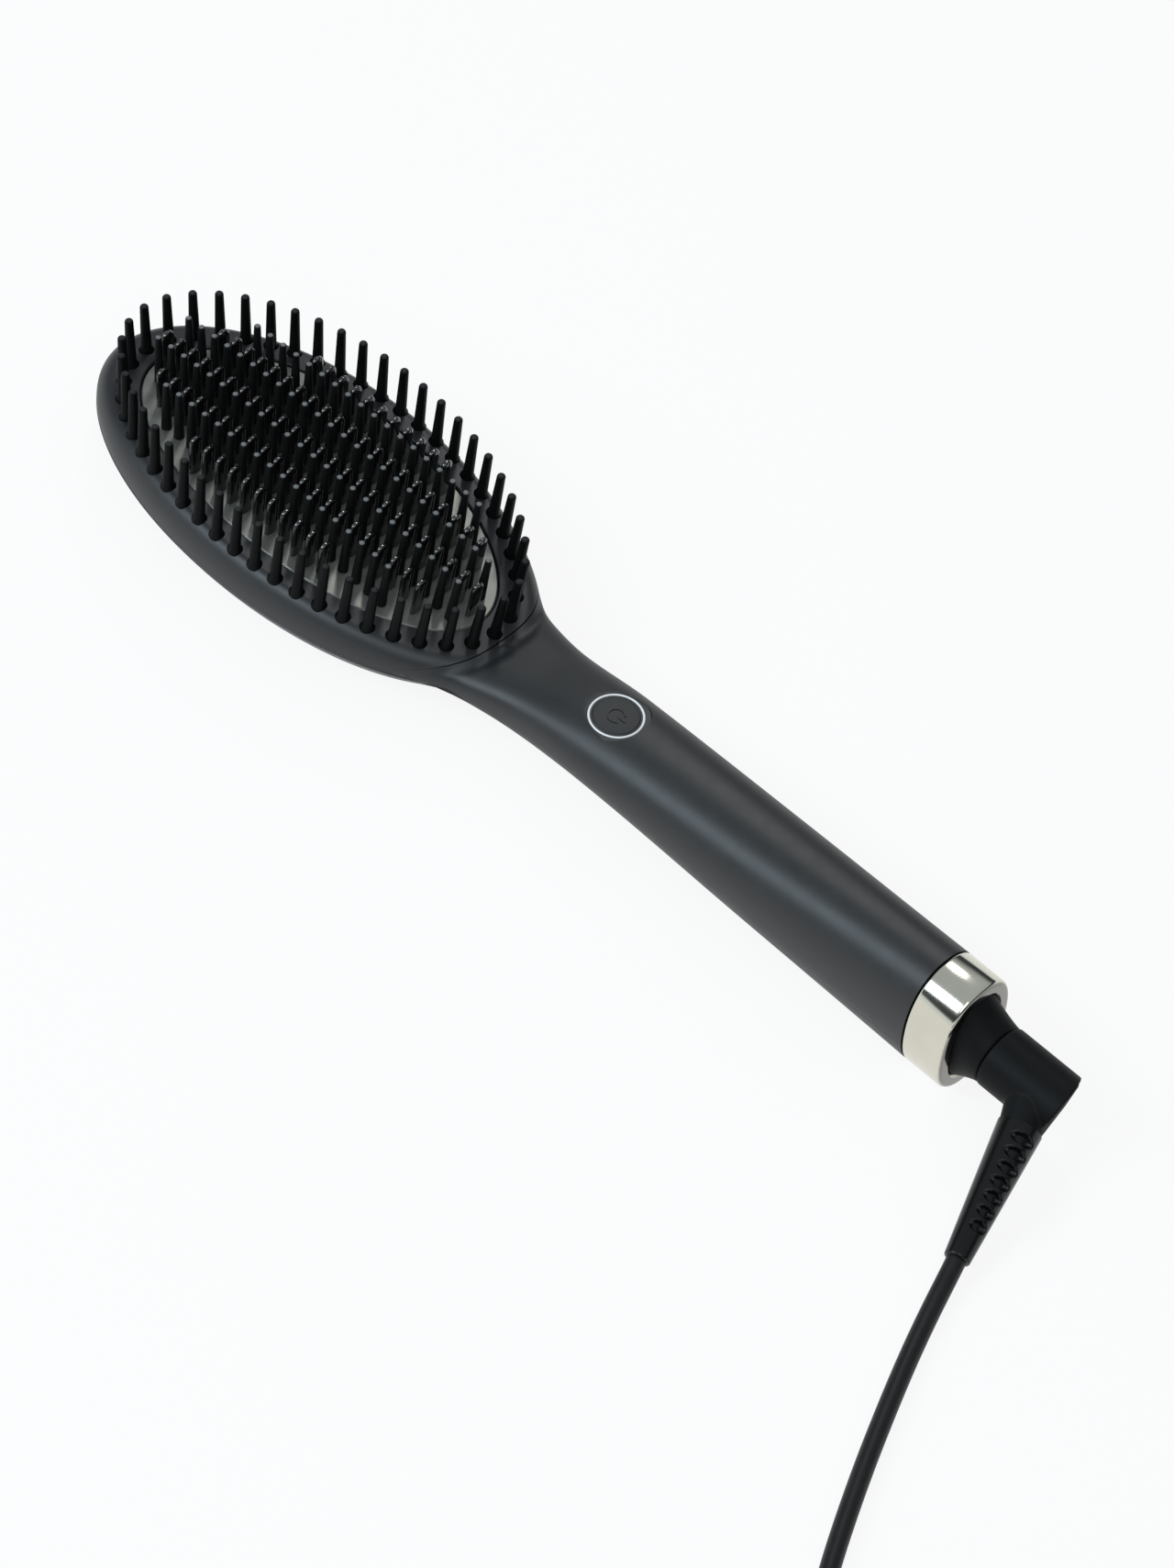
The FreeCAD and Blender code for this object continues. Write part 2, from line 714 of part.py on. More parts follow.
def report_coil(edges):
    """Print the coil's length and the least gap between its turns, measured on points."""
    points = []
    places = []
    along = 0
    for edge in edges:
        count = max(2, int(edge.Length / cord_radius) + 1)
        for i, point in enumerate(edge.discretize(count)):
            points.append(point)
            places.append(along + edge.Length * i / (count - 1))
        along += edge.Length
    apart = math.pi * coil_inner_radius()
    least = min(points[i].distanceToPoint(points[j]) for i in range(len(points)) for j in range(i)
                if places[i] - places[j] > apart)
    print("coil length", round(along, 1), "least gap between turns", round(least - cord_diameter, 3))


def make_tie(centre, start_angle):
    """A strap round all the turns, a quarter turn on from where the cord comes in."""
    inner = coil_inner_radius() - coil_pitch - cord_radius - tie_side_clearance
    outer = coil_outer_radius() + cord_radius + tie_side_clearance
    top = coil_bottom_height() + coil_pitch + cord_radius + tie_clearance
    bottom = tie_thickness
    wrap = Part.makeBox(outer - inner + 2 * tie_thickness, tie_width, top - bottom + 2 * tie_thickness,
                        Vector(inner - tie_thickness, -tie_width / 2, bottom - tie_thickness))
    hole = Part.makeBox(outer - inner, tie_width + 2 * overrun, top - bottom,
                        Vector(inner, -tie_width / 2 - overrun, bottom))
    strap = wrap.cut(hole)
    strap.rotate(Vector(0, 0, 0), Z_AXIS, math.degrees(start_angle) + 90)
    strap.translate(Vector(centre.x, centre.y, 0))
    nodes["cord_tie"] = strap


def make_plug(end, way):
    """A plain two-pin plug lying on the table at the end of the cord."""
    side = Z_AXIS.cross(way)
    height = 2 * end.z
    body = Part.makeBox(plug_length, plug_width, height, Vector(0, -plug_width / 2, -height / 2))
    upright = [e for e in body.Edges if e.BoundBox.ZLength > height - overrun and e.CenterOfMass.x < overrun]
    body = body.makeChamfer(plug_edge, upright)
    turn = FreeCAD.Placement(end, FreeCAD.Rotation(way, side, Z_AXIS, "XYZ"))
    nodes["plug_body"] = body.transformed(turn.toMatrix())
    for number, offset in ((1, -plug_pin_spacing / 2), (2, plug_pin_spacing / 2)):
        foot = end + way * plug_length + side * offset
        nodes[f"plug_pin_{number}"] = Part.makeCylinder(plug_pin_radius, plug_pin_length, foot, way)


head_forms = make_head()
make_heater()
make_bristles()
make_handle(head_forms)
make_control_board()
make_button()
make_collar()
make_swivel()
shift = move_to_origin()
lead_end, lead_heading = make_lead(shift)
coil_end, coil_way, coil_centre, coil_angle = make_coil(lead_end, lead_heading)
make_tie(coil_centre, coil_angle)
plug_start, plug_way = make_tail(coil_end, coil_way)
make_plug(plug_start, plug_way)

os.makedirs("parts", exist_ok=True)
for name, shape in nodes.items():
    shape.exportStep(f"parts/{name}.step")
swivel = branch_foot() + shift
print("swivel axis at", tuple(round(value, 2) for value in swivel))
print("button at", tuple(round(value, 2) for value in Vector(button_x, 0, recess_floor) + shift))
print("head centre at", round(shift.x, 2), "nodes", len(nodes))
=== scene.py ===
"""The looks of a heated styling brush that lies on its back, bristles up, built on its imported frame.

Pieces are laid out in millimetres, X from the head's centre, and set into the frame in metres.
"""
import functools
import math

import bmesh
import bpy
from mathutils import Matrix, Vector


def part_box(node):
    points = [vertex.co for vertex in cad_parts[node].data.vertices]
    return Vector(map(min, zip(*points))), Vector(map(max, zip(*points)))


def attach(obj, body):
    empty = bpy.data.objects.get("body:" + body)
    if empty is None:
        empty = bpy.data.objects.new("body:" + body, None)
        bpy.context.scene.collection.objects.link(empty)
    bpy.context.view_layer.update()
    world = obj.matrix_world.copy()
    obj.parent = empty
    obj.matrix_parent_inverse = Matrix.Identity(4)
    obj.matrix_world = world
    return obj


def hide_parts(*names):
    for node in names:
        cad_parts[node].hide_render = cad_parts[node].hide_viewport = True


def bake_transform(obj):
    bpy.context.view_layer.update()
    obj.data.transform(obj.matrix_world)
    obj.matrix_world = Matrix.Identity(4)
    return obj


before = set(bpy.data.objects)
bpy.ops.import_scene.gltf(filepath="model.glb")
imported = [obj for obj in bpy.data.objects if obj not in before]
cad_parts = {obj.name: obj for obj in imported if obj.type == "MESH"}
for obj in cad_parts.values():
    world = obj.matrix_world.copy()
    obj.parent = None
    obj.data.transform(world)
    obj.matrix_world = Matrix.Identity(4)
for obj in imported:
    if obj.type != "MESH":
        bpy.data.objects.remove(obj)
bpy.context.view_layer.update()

MM = 0.001
bezel_low, bezel_high = (Vector(corner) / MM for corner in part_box("front_bezel"))
head_shift = Vector(((bezel_low.x + bezel_high.x) / 2, 0, 0))


def node_box(name):
    """A node's lowest and highest corners in millimetres from the head's centre."""
    low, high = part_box(name)
    return Vector(low) / MM - head_shift, Vector(high) / MM - head_shift


# The frame's own sizes
head_half_length = (bezel_high.x - bezel_low.x) / 2
head_half_width = (bezel_high.y - bezel_low.y) / 2
head_height = bezel_high.z
seam_height = bezel_low.z
handle_seam = node_box("handle_cover")[0].z
plate_half_length = node_box("heater_plate")[1].x
plate_half_width = node_box("heater_plate")[1].y
collar_low, collar_high = node_box("end_collar")
button_low, button_high = node_box("power_button")
light_top = node_box("light_ring")[1].z
boss_low, boss_high = node_box("swivel_boss")
elbow_start = node_box("cord_elbow")[0].x
button_x = (button_low.x + button_high.x) / 2
button_top = button_high.z
swivel_height = collar_high.z / 2

# Meshes: sides of round skins, angles in degrees from which edges stay sharp, shortest edge in metres
oval_sides = 192
turned_sides = 96
sharp_angle = 35
plug_sharp_angle = 28
bristle_sharp_angle = 50
relief_sharp_angle = 50
soft_sharp_angle = 60
shortest_edge = 1e-6

# Head
dome_radius = 500.0
shoulder_reach = 4.4
shoulder_drop_share = 0.8
plate_gap = 0.3
plate_inset = 0.4
plate_thickness = 3.0
plate_edge = 0.3
plate_ring_shares = (0.8, 0.6, 0.4, 0.2, 0.03)
bezel_ledge = 2.8
seam_chamfer = 0.35
back_flat_half_length = 46.0
back_flat_half_width = 20.0
back_swell = 0.52
back_steps = 18
shoulder_steps = 12
profile_steps = 24
socket_radius = 2.0
socket_depth = 0.8
socket_sides = 24

# Bristles and fins
bristle_pitch = 4.43
row_pitch = 5.1
array_inset = 2.9
bristle_sides = 16
inner_height = 14.5
inner_base_radius = 1.35
inner_tip_radius = 0.85
inner_tip_edge = 0.55
inner_tip_steps = 5
fin_height = 11.5
fin_length = 3.8
fin_thickness = 1.6
fin_top_share = 0.95
fin_top_power = 0.5
fin_arch_degrees = (0, 20, 38, 53, 65, 75, 82, 87)
fin_squareness = 2.6
fin_sides = 24
ring_end_inset = 8.3
ring_side_inset = 3.9
ring_search_steps = 3600
outer_count = 46
outer_height = 14.7
outer_base_radius = 1.4
outer_tip_radius = 1.1
outer_tip_edge = 0.9
outer_tip_steps = 6
outer_foot_radius = 1.92
outer_foot_edge_depth = 0.25
outer_foot_top = 0.75

# Handle: distance from the head's centre, half width, underside, top and squareness at each station
handle_stations = (
    (51.0, 19.6, 9.5, 18.6, 2.6), (77.0, 13.6, 8.0, 22.2, 2.8), (101.5, 13.3, 7.6, 27.0, 2.3),
    (156.0, 12.8, 4.0, 30.4, 2.3), (206.5, 11.6, 0.0, 33.6, 2.3),
)
handle_steps = 90
handle_step_power = 1.5
section_sides = 64
parting_chamfer = 0.25
neck_blend = 3.0
neck_blend_run = 5.0
neck_seam_x = 64.0
neck_seam_side_x = 50.6
neck_seam_side_y = 24.0
neck_seam_power = 3
neck_seam_depth = 1.2
neck_seam_gap = 0.35
neck_seam_gap_share = 1.05
neck_cut_steps = 20
neck_cut_margin = 1.0
search_steps = 24
recess_radius = 8.4
recess_depth = 1.2

# Power button and its lit ring
button_radius = 6.0
button_edge = 0.5
button_edge_steps = 6
button_sides = 64
button_sink = 2.0
button_foot_edge = 0.4
symbol_radius = 2.1
symbol_width = 0.34
symbol_lift = 0.2
symbol_gap_angle = 38.0
symbol_stroke = (0.7, 2.9)
symbol_section = ((-1, -1), (1, -1), (0.7, 1), (-0.7, 1))
symbol_steps = 40
light_inner_radius = 6.35
light_outer_radius = 6.9
light_sink = 1.0
light_edge = 0.15

# Collar and swivel: the collar's start as distance along and inset, the branch as distance and half sizes
collar_wall = 3.6
collar_start = ((0.3, 0.35), (0.55, 0.1), (0.9, 0.0))
collar_edge = 1.2
collar_edge_steps = 6
collar_bore_edge = 0.5
collar_sides = 160
boss_radius = 7.8
boss_edge = 0.25
boss_foot_gap = 0.15
boss_foot_sink = 0.4
boss_flare_power = 1.2
boss_steps = 14
elbow_length = 18.7
elbow_radius = 8.0
elbow_start_edge = 0.3
elbow_start_steps = 3
elbow_edge = 0.9
elbow_edge_steps = 8
elbow_end_way = (0.92, 0.22, -0.33)
elbow_end_reach = 3.6
elbow_cut_size = 30.0
elbow_cut_sides = 32
elbow_voxel = 0.3
elbow_smoothing = 6
elbow_smoothing_share = 0.5
branch_offset = 12.4
branch_reach = 11.1
branch_sizes = ((-4.6, 8.1, 5.2), (1.0, 7.1, 6.9), (branch_reach, 5.1, 5.1))
branch_sides = 64
round_squareness = 2
exit_down_angle = 15.0
exit_forward_angle = 19.5

# Strain relief with its staggered windows
relief_length = 35.4
relief_start_radius = 5.5
relief_end_radius = 3.2
relief_edge = 0.6
relief_edge_steps = 5
relief_steps = 150
relief_sides = 96
window_count = 9
window_columns = 2
window_depth = 1.4
window_width_share = 0.21
window_height_share = 0.38
window_turn_share = 0.31
window_stagger = 0.5
window_steepness = 1.8

# Cord, in the frame's own millimetres, as the part lays it
cord_diameter = 4.8
cord_inset = 4.0
cord_sides = 14
cord_order = 3
cord_resolution = 8
cord_route = (
    (165.73, -44.57, 4.13), (170.56, -58.23, 2.45), (177.6, -75.2, 2.45), (189.6, -101.2, 2.45),
    (203.2, -127.2, 2.45), (219.0, -151.4, 3.75), (235.1, -170.6, 3.75),
)
coil_turns = 7.5
coil_points_per_turn = 16
coil_pitch = 5.3
coil_inner_radius = 18.8625
coil_climb_turns = 0.5
cord_tail = (
    (294.55, -120.75, 9.05), (285.79, -109.83, 9.05), (279.49, -97.33, 9.05), (275.93, -83.79, 9.05),
)

# Tie: its section as shares of width and thickness
tie_thickness = 1.0
tie_width = 9.0
tie_gap = 0.7
tie_lift = 0.35
tie_corner = 3.0
tie_corner_steps = 6
tie_section = (
    (-0.5, -0.3), (-0.46, -0.5), (0.46, -0.5), (0.5, -0.3),
    (0.5, 0.3), (0.46, 0.5), (-0.46, 0.5), (-0.5, 0.3),
)

# Plug: its rounded back, three grip grooves and front edge as shares of length, half width and half height
plug_length = 30.0
plug_half_width = 13.0
plug_squareness = 4
plug_sides = 64
plug_back = (
    (0.0, 0.34, 0.46), (0.02, 0.38, 0.52), (0.08, 0.6, 0.74), (0.15, 0.82, 0.9), (0.24, 0.95, 0.97),
    (0.36, 1.0, 1.0),
)
plug_groove_starts = (0.40, 0.54, 0.68)
plug_groove = ((0.0, 1.0, 1.0), (0.02, 0.955, 0.95), (0.06, 0.955, 0.95), (0.08, 1.0, 1.0))
plug_front = ((0.93, 1.0, 1.0), (0.97, 0.985, 0.98), (1.0, 0.94, 0.92))
plug_pin_radius = 2.0
plug_pin_spacing = 19.0
plug_pin_length = 19.0
plug_pin_edge = 1.0
plug_pin_edge_steps = 6
plug_pin_sink = 0.5
plug_pin_sides = 32

# Finishes: the clouds' size against the grain, noise detail, where tones part, how far end faces turn for
# their own tone (painted light on the bristle tips) and grain height
cloud_size = 12
cloud_detail = 6
grain_detail = 3
tone_places = (0.3, 0.7)
tip_facing = (0.55, 0.9)
grain_height = 0.05
lit_tint = (0.9, 0.95, 1.0)
lit_strength = 0.2

# Camera at the photograph's angle: a long lens over the near side of the handle
camera_right = Vector((0.7096, 0.6981, 0.0950)).normalized()
camera_up = Vector((-0.5829, 0.5060, 0.6357)).normalized()
camera_distance = 1500.0
camera_scale = 4.48
aim_point = Vector((1.0, 0.0, 22.0))
aim_pixel = (350.0, 531.0)
image_size = (1280.0, 1709.0)
film_height = 36.0

# Studio, in metres: floor, sky brightness by height, and lights by place, size, power and tint
floor_size = 6.0
floor_tone = 0.86
floor_roughness = 0.9
floor_glow_share = 0.88
sky_tones = ((0.0, 0.95), (0.11, 0.95), (0.16, 0.05), (0.38, 0.05), (0.58, 0.5), (1.0, 0.55))
sky_tint = (0.88, 0.95, 1.0)
sky_new_stop = 0.5
lamp_aim = Vector((0, 0, 0.02))
studio_lights = {
    "key_left": ((-0.58, -1.0, 0.92), (1.0, 0.6), 12, (0.76, 0.9, 1.0)),
    "front_soft": ((0.7, -0.8, 1.2), (0.9, 0.9), 5, (0.95, 0.98, 1.0)),
    "back_glint": ((-0.62, 0.8, 1.2), (0.22, 0.22), 3.2, (1.0, 1.0, 1.0)),
}


def material(name, dark, light, rough, grain, bump, metallic=0.0, specular=0.5, coat=0.0,
             tip=None, tip_axis="Z"):
    """A finish of two close tones, uneven gloss and fine grain, perhaps with another tone on end faces:
    painted light on the bristles' up-turned tips, a darker end face on the collar.
    """
    made = bpy.data.materials.new(name)
    made.use_nodes = True
    nodes = made.node_tree.nodes
    links = made.node_tree.links
    shader = nodes["Principled BSDF"]
    shader.inputs["Metallic"].default_value = metallic
    shader.inputs["Specular IOR Level"].default_value = specular
    shader.inputs["Coat Weight"].default_value = coat
    where = nodes.new("ShaderNodeTexCoord")
    cloud = nodes.new("ShaderNodeTexNoise")
    cloud.inputs["Scale"].default_value = grain / cloud_size
    cloud.inputs["Detail"].default_value = cloud_detail
    links.new(where.outputs["Object"], cloud.inputs["Vector"])
    tone = nodes.new("ShaderNodeValToRGB")
    for stop, place, shade in zip(tone.color_ramp.elements, tone_places, (dark, light)):
        stop.position = place
        stop.color = (*shade, 1)
    links.new(cloud.outputs["Fac"], tone.inputs["Fac"])
    colour = tone.outputs["Color"]
    if tip:
        end_facing = nodes.new("ShaderNodeSeparateXYZ")
        links.new(where.outputs["Normal"], end_facing.inputs["Vector"])
        tip_share = nodes.new("ShaderNodeMapRange")
        tip_share.inputs["From Min"].default_value = tip_facing[0]
        tip_share.inputs["From Max"].default_value = tip_facing[1]
        links.new(end_facing.outputs[tip_axis], tip_share.inputs["Value"])
        tip_mix = nodes.new("ShaderNodeMix")
        tip_mix.data_type = "RGBA"
        tip_mix.inputs["B"].default_value = (*tip, 1)
        links.new(tip_share.outputs["Result"], tip_mix.inputs["Factor"])
        links.new(colour, tip_mix.inputs["A"])
        colour = tip_mix.outputs["Result"]
    links.new(colour, shader.inputs["Base Color"])
    gloss = nodes.new("ShaderNodeMapRange")
    gloss.inputs["To Min"].default_value = rough[0]
    gloss.inputs["To Max"].default_value = rough[1]
    links.new(cloud.outputs["Fac"], gloss.inputs["Value"])
    links.new(gloss.outputs["Result"], shader.inputs["Roughness"])
    fine = nodes.new("ShaderNodeTexNoise")
    fine.inputs["Scale"].default_value = grain
    fine.inputs["Detail"].default_value = grain_detail
    links.new(where.outputs["Object"], fine.inputs["Vector"])
    rise = nodes.new("ShaderNodeBump")
    rise.inputs["Strength"].default_value = bump
    rise.inputs["Distance"].default_value = grain_height * MM
    links.new(fine.outputs["Fac"], rise.inputs["Height"])
    links.new(rise.outputs["Normal"], shader.inputs["Normal"])
    return made


# Finishes of the outside
shell_black = material("matte_black", (0.0065, 0.0076, 0.0085), (0.0095, 0.011, 0.0123), (0.42, 0.52),
                       grain=2600, bump=0.25, specular=0.6)
swivel_black = material("satin_black", (0.003, 0.0035, 0.0037), (0.005, 0.0057, 0.006), (0.48, 0.58),
                        grain=2200, bump=0.2, specular=0.12)
relief_black = material("gloss_black", (0.002, 0.0022, 0.0025), (0.0035, 0.0038, 0.0042), (0.2, 0.3),
                        grain=1500, bump=0.1, specular=0.3)
cord_black = material("cord_black", (0.005, 0.0054, 0.0059), (0.009, 0.0096, 0.0102), (0.42, 0.54),
                      grain=1800, bump=0.3, specular=0.3)
button_black = material("button_black", (0.012, 0.0135, 0.0146), (0.0165, 0.0182, 0.0195), (0.44, 0.52),
                        grain=2600, bump=0.2, specular=0.4)
fin_black = material("fin_black", (0.003, 0.0032, 0.0033), (0.006, 0.0063, 0.0064), (0.13, 0.21),
                     grain=2000, bump=0.08, specular=0.7, coat=1.0)
# Inner pins: near-black, with a grey tone on their up-turned tips that is painted light where the lamps fall
# on the ends
inner_grey = material("inner_bristle_grey", (0.003, 0.0032, 0.0033), (0.0055, 0.0058, 0.006), (0.5, 0.62),
                      grain=2200, bump=0.2, specular=0.2, tip=(0.16, 0.168, 0.168))
# Ring pins: black, with a lighter tone on their up-turned tips that is painted light where the lamps fall on
# the ends
outer_black = material("outer_bristle_black", (0.0025, 0.003, 0.003), (0.005, 0.0056, 0.0056), (0.46, 0.56),
                       grain=2200, bump=0.1, specular=0.08, tip=(0.025, 0.028, 0.028))
plate_grey = material("plate_grey", (0.18, 0.18, 0.165), (0.24, 0.24, 0.22), (0.34, 0.46),
                      grain=3200, bump=0.3, metallic=0.6)
collar_nickel = material("collar_nickel", (0.62, 0.605, 0.51), (0.68, 0.66, 0.565), (0.1, 0.16),
                         grain=900, bump=0.03, metallic=1.0, tip=(0.2, 0.196, 0.178), tip_axis="X")
tie_black = material("tie_black", (0.012, 0.012, 0.013), (0.024, 0.024, 0.026), (0.8, 0.95),
                     grain=4200, bump=0.9)
plug_black = material("plug_black", (0.013, 0.0135, 0.0145), (0.020, 0.0205, 0.0215), (0.4, 0.55),
                      grain=1500, bump=0.35)
pin_brass = material("pin_brass", (0.55, 0.41, 0.20), (0.66, 0.51, 0.27), (0.22, 0.34),
                     grain=1800, bump=0.12, metallic=1.0)
lit_white = material("lit_white", (0.5, 0.52, 0.53), (0.58, 0.6, 0.61), (0.3, 0.4), grain=1600, bump=0.05)
lit_shader = lit_white.node_tree.nodes["Principled BSDF"]
lit_shader.inputs["Emission Color"].default_value = (*lit_tint, 1)
lit_shader.inputs["Emission Strength"].default_value = lit_strength

# Finishes of the inside
ceramic_white = material("ceramic_white", (0.72, 0.71, 0.68), (0.82, 0.81, 0.78), (0.5, 0.65),
                         grain=2600, bump=0.3)
mica_tan = material("mica_tan", (0.36, 0.29, 0.20), (0.52, 0.43, 0.31), (0.35, 0.6), grain=900, bump=0.4)
spring_steel = material("spring_steel", (0.46, 0.46, 0.47), (0.58, 0.58, 0.59), (0.25, 0.4),
                        grain=1600, bump=0.15, metallic=1.0)
sensor_black = material("sensor_black", (0.02, 0.02, 0.021), (0.035, 0.035, 0.036), (0.3, 0.45),
                        grain=1800, bump=0.2)
board_green = material("board_green", (0.012, 0.085, 0.035), (0.02, 0.12, 0.05), (0.3, 0.45),
                       grain=1400, bump=0.2)
can_aluminium = material("can_aluminium", (0.60, 0.61, 0.62), (0.70, 0.71, 0.72), (0.25, 0.36),
                         grain=1600, bump=0.12, metallic=1.0)
spindle_grey = material("spindle_grey", (0.05, 0.05, 0.052), (0.08, 0.08, 0.083), (0.35, 0.5),
                        grain=1600, bump=0.2)


def to_frame(point):
    """A point in millimetres from the head's centre, in the frame's metres."""
    return (Vector(point) + head_shift) * MM


def smooth(mesh, sharp):
    """Round shading that keeps edges sharper than an angle, with no sliver and every face outward."""
    work = bmesh.new()
    work.from_mesh(mesh)
    bmesh.ops.dissolve_degenerate(work, dist=shortest_edge, edges=work.edges)
    bmesh.ops.recalc_face_normals(work, faces=work.faces)
    work.to_mesh(mesh)
    work.free()
    mesh.polygons.foreach_set("use_smooth", [True] * len(mesh.polygons))
    mesh.set_sharp_from_angle(angle=math.radians(sharp))


def ring_mesh(rings, loop=False):
    """Points and faces of a closed skin through rings of equally many points, capped or looped."""
    count = len(rings[0])
    points = [p for ring in rings for p in ring]
    faces = []
    for i in range(len(rings) if loop else len(rings) - 1):
        a = i * count
        b = (i + 1) % len(rings) * count
        faces += [(a + j, a + (j + 1) % count, b + (j + 1) % count, b + j) for j in range(count)]
    if not loop:
        faces.append(tuple(range(count)))
        faces.append(tuple(range(len(points) - count, len(points))))
    return points, faces


def joined(meshes):
    """Several closed skins in one mesh."""
    points = []
    faces = []
    for more_points, more_faces in meshes:
        faces += [tuple(i + len(points) for i in face) for face in more_faces]
        points += more_points
    return points, faces


def mesh_object(name, skin, finish, sharp=sharp_angle):
    """A mesh in the scene from points in millimetres and faces."""
    points, faces = skin
    mesh = bpy.data.meshes.new(name)
    mesh.from_pydata([to_frame(p) for p in points], [], faces)
    smooth(mesh, sharp)
    mesh.materials.append(finish)
    made = bpy.data.objects.new(name, mesh)
    bpy.context.scene.collection.objects.link(made)
    return made


def apply_modifiers(made, sharp=sharp_angle):
    """Turn a piece's modifiers into its mesh, in its one finish."""
    finish = made.data.materials[0]
    mesh = bpy.data.meshes.new_from_object(made.evaluated_get(bpy.context.evaluated_depsgraph_get()))
    made.modifiers.clear()
    made.data = mesh
    mesh.materials.clear()
    mesh.materials.append(finish)
    smooth(mesh, sharp)


def combine(made, tool, operation):
    """Cut one closed mesh out of another, or join it on."""
    step = made.modifiers.new("step", "BOOLEAN")
    step.object = tool
    step.solver = "EXACT"
    step.operation = operation
    apply_modifiers(made)
    bpy.data.objects.remove(tool)


def dress(made, body, slot, *stands_for):
    """Let a piece ride on a body in place of CAD nodes."""
    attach(made, body)
    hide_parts(*stands_for)
    return made


def oval(half_length, half_width, height, sides=oval_sides):
    """A level oval about the head's centre, at one height or at a height for each x."""
    points = []
    for i in range(sides):
        x = half_length * math.cos(2 * math.pi * i / sides)
        y = half_width * math.sin(2 * math.pi * i / sides)
        points.append(Vector((x, y, height(x) if callable(height) else height)))
    return points


def soft_oval(centre, half_across, half_upward, squareness, sides):
    """A soft-cornered oval about a centre, spanned by two half axes."""
    points = []
    for i in range(sides):
        angle = 2 * math.pi * i / sides
        across = math.copysign(abs(math.cos(angle)) ** (2 / squareness), math.cos(angle))
        upward = math.copysign(abs(math.sin(angle)) ** (2 / squareness), math.sin(angle))
        points.append(centre + half_across * across + half_upward * upward)
    return points


def circle(radius, height, sides):
    """A level circle about Z."""
    turns = [2 * math.pi * i / sides for i in range(sides)]
    return [Vector((radius * math.cos(turn), radius * math.sin(turn), height)) for turn in turns]


def lathe(profile, sides):
    """A closed turned skin about Z from radii and heights."""
    return ring_mesh([circle(radius, height, sides) for radius, height in profile])


def moved(skin, matrix):
    """A skin set in another place."""
    points, faces = skin
    return [matrix @ p for p in points], faces


def rounding(radius, edge, height, steps, top=True):
    """Profile points round an edge: towards the axis going up at the top, away from it at the bottom."""
    points = []
    for i in range(steps + 1):
        angle = math.pi / 2 * i / steps
        if top:
            points.append((radius - edge * (1 - math.cos(angle)), height - edge * (1 - math.sin(angle))))
        else:
            points.append((radius - edge * (1 - math.sin(angle)), height + edge * (1 - math.cos(angle))))
    return points


def facing(start, way):
    """The placement that sets Z = 0 at a point and turns Z into a direction."""
    return Matrix.Translation(start) @ Vector((0, 0, 1)).rotation_difference(way).to_matrix().to_4x4()


# Camera
camera_back = camera_right.cross(camera_up)
view_x = (image_size[0] / 2 - aim_pixel[0]) / camera_scale
view_y = (image_size[1] / 2 - aim_pixel[1]) / camera_scale
camera_place = aim_point + camera_back * camera_distance + camera_right * view_x - camera_up * view_y
camera_turn = Matrix((camera_right, camera_up, camera_back)).transposed().to_4x4()
camera_data = bpy.data.cameras.new("camera")
camera_data.sensor_fit = "VERTICAL"
camera_data.sensor_height = film_height
camera_data.lens = camera_scale * camera_distance * film_height / image_size[1]
camera = bpy.data.objects.new("camera", camera_data)
camera.matrix_world = Matrix.Translation(to_frame(camera_place)) @ camera_turn
bpy.context.scene.collection.objects.link(camera)
bpy.context.scene.camera = camera

# Cord: one smooth line out of the strain relief, over the table and round the coil
exit_down = math.radians(exit_down_angle)
exit_forward = math.radians(exit_forward_angle)
exit_way = Vector((math.cos(exit_down) * math.sin(exit_forward),
                   -math.cos(exit_down) * math.cos(exit_forward), -math.sin(exit_down)))
route = [Vector(p) for p in cord_route]
tail = [Vector(p) for p in cord_tail]
into_coil = (route[-1] - route[-2]).normalized()
coil_entry = route[-1] + into_coil * cord_diameter
coil_outer_radius = coil_inner_radius + coil_pitch * coil_turns / 2
coil_centre = coil_entry + Vector((-into_coil.y, into_coil.x, 0)) * coil_outer_radius
coil_start_angle = math.atan2(coil_entry.y - coil_centre.y, coil_entry.x - coil_centre.x)


def coil_point(turns):
    """A point of the two-layer coil, in to the middle and out again."""
    from_middle = turns - coil_turns / 2
    radius = coil_inner_radius + coil_pitch * abs(from_middle)
    rise = min(max(from_middle / coil_climb_turns + 1 / 2, 0), 1) * coil_pitch
    angle = coil_start_angle + 2 * math.pi * turns
    return coil_centre + Vector((radius * math.cos(angle), radius * math.sin(angle), rise))


coil_point_count = int(coil_turns * coil_points_per_turn)
coil = [coil_point((i + 1) / coil_points_per_turn) for i in range(coil_point_count)]
line_points = [route[0] - exit_way * cord_inset] + route + coil + tail
route_curve = bpy.data.curves.new("cord_route", "CURVE")
route_curve.dimensions = "3D"
spline = route_curve.splines.new("NURBS")
spline.points.add(len(line_points) - 1)
for control, p in zip(spline.points, line_points):
    control.co = (*(p * MM), 1)
spline.order_u = cord_order
spline.use_endpoint_u = True
spline.resolution_u = cord_resolution
route_object = bpy.data.objects.new("cord_route", route_curve)
route_mesh = bpy.data.meshes.new_from_object(route_object)
cord_line = [v.co / MM - head_shift for v in route_mesh.vertices]
bpy.data.objects.remove(route_object)
bpy.data.meshes.remove(route_mesh)


def tube_rings(line, radius, sides):
    """Round sections along a line, carried on without twist."""
    rings = []
    side = Vector((0, 0, 1))
    for i, p in enumerate(line):
        way = (line[min(i + 1, len(line) - 1)] - line[max(i - 1, 0)]).normalized()
        side = (side - way * side.dot(way)).normalized()
        other = way.cross(side)
        turns = [2 * math.pi * k / sides for k in range(sides)]
        rings.append([p + (side * math.cos(turn) + other * math.sin(turn)) * radius for turn in turns])
    return rings


cord_skin = ring_mesh(tube_rings(cord_line, cord_diameter / 2, cord_sides))
cord = mesh_object("power_cord", cord_skin, cord_black, soft_sharp_angle)
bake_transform(cord)
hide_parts("cord_lead", "cord_coil", "cord_tail")

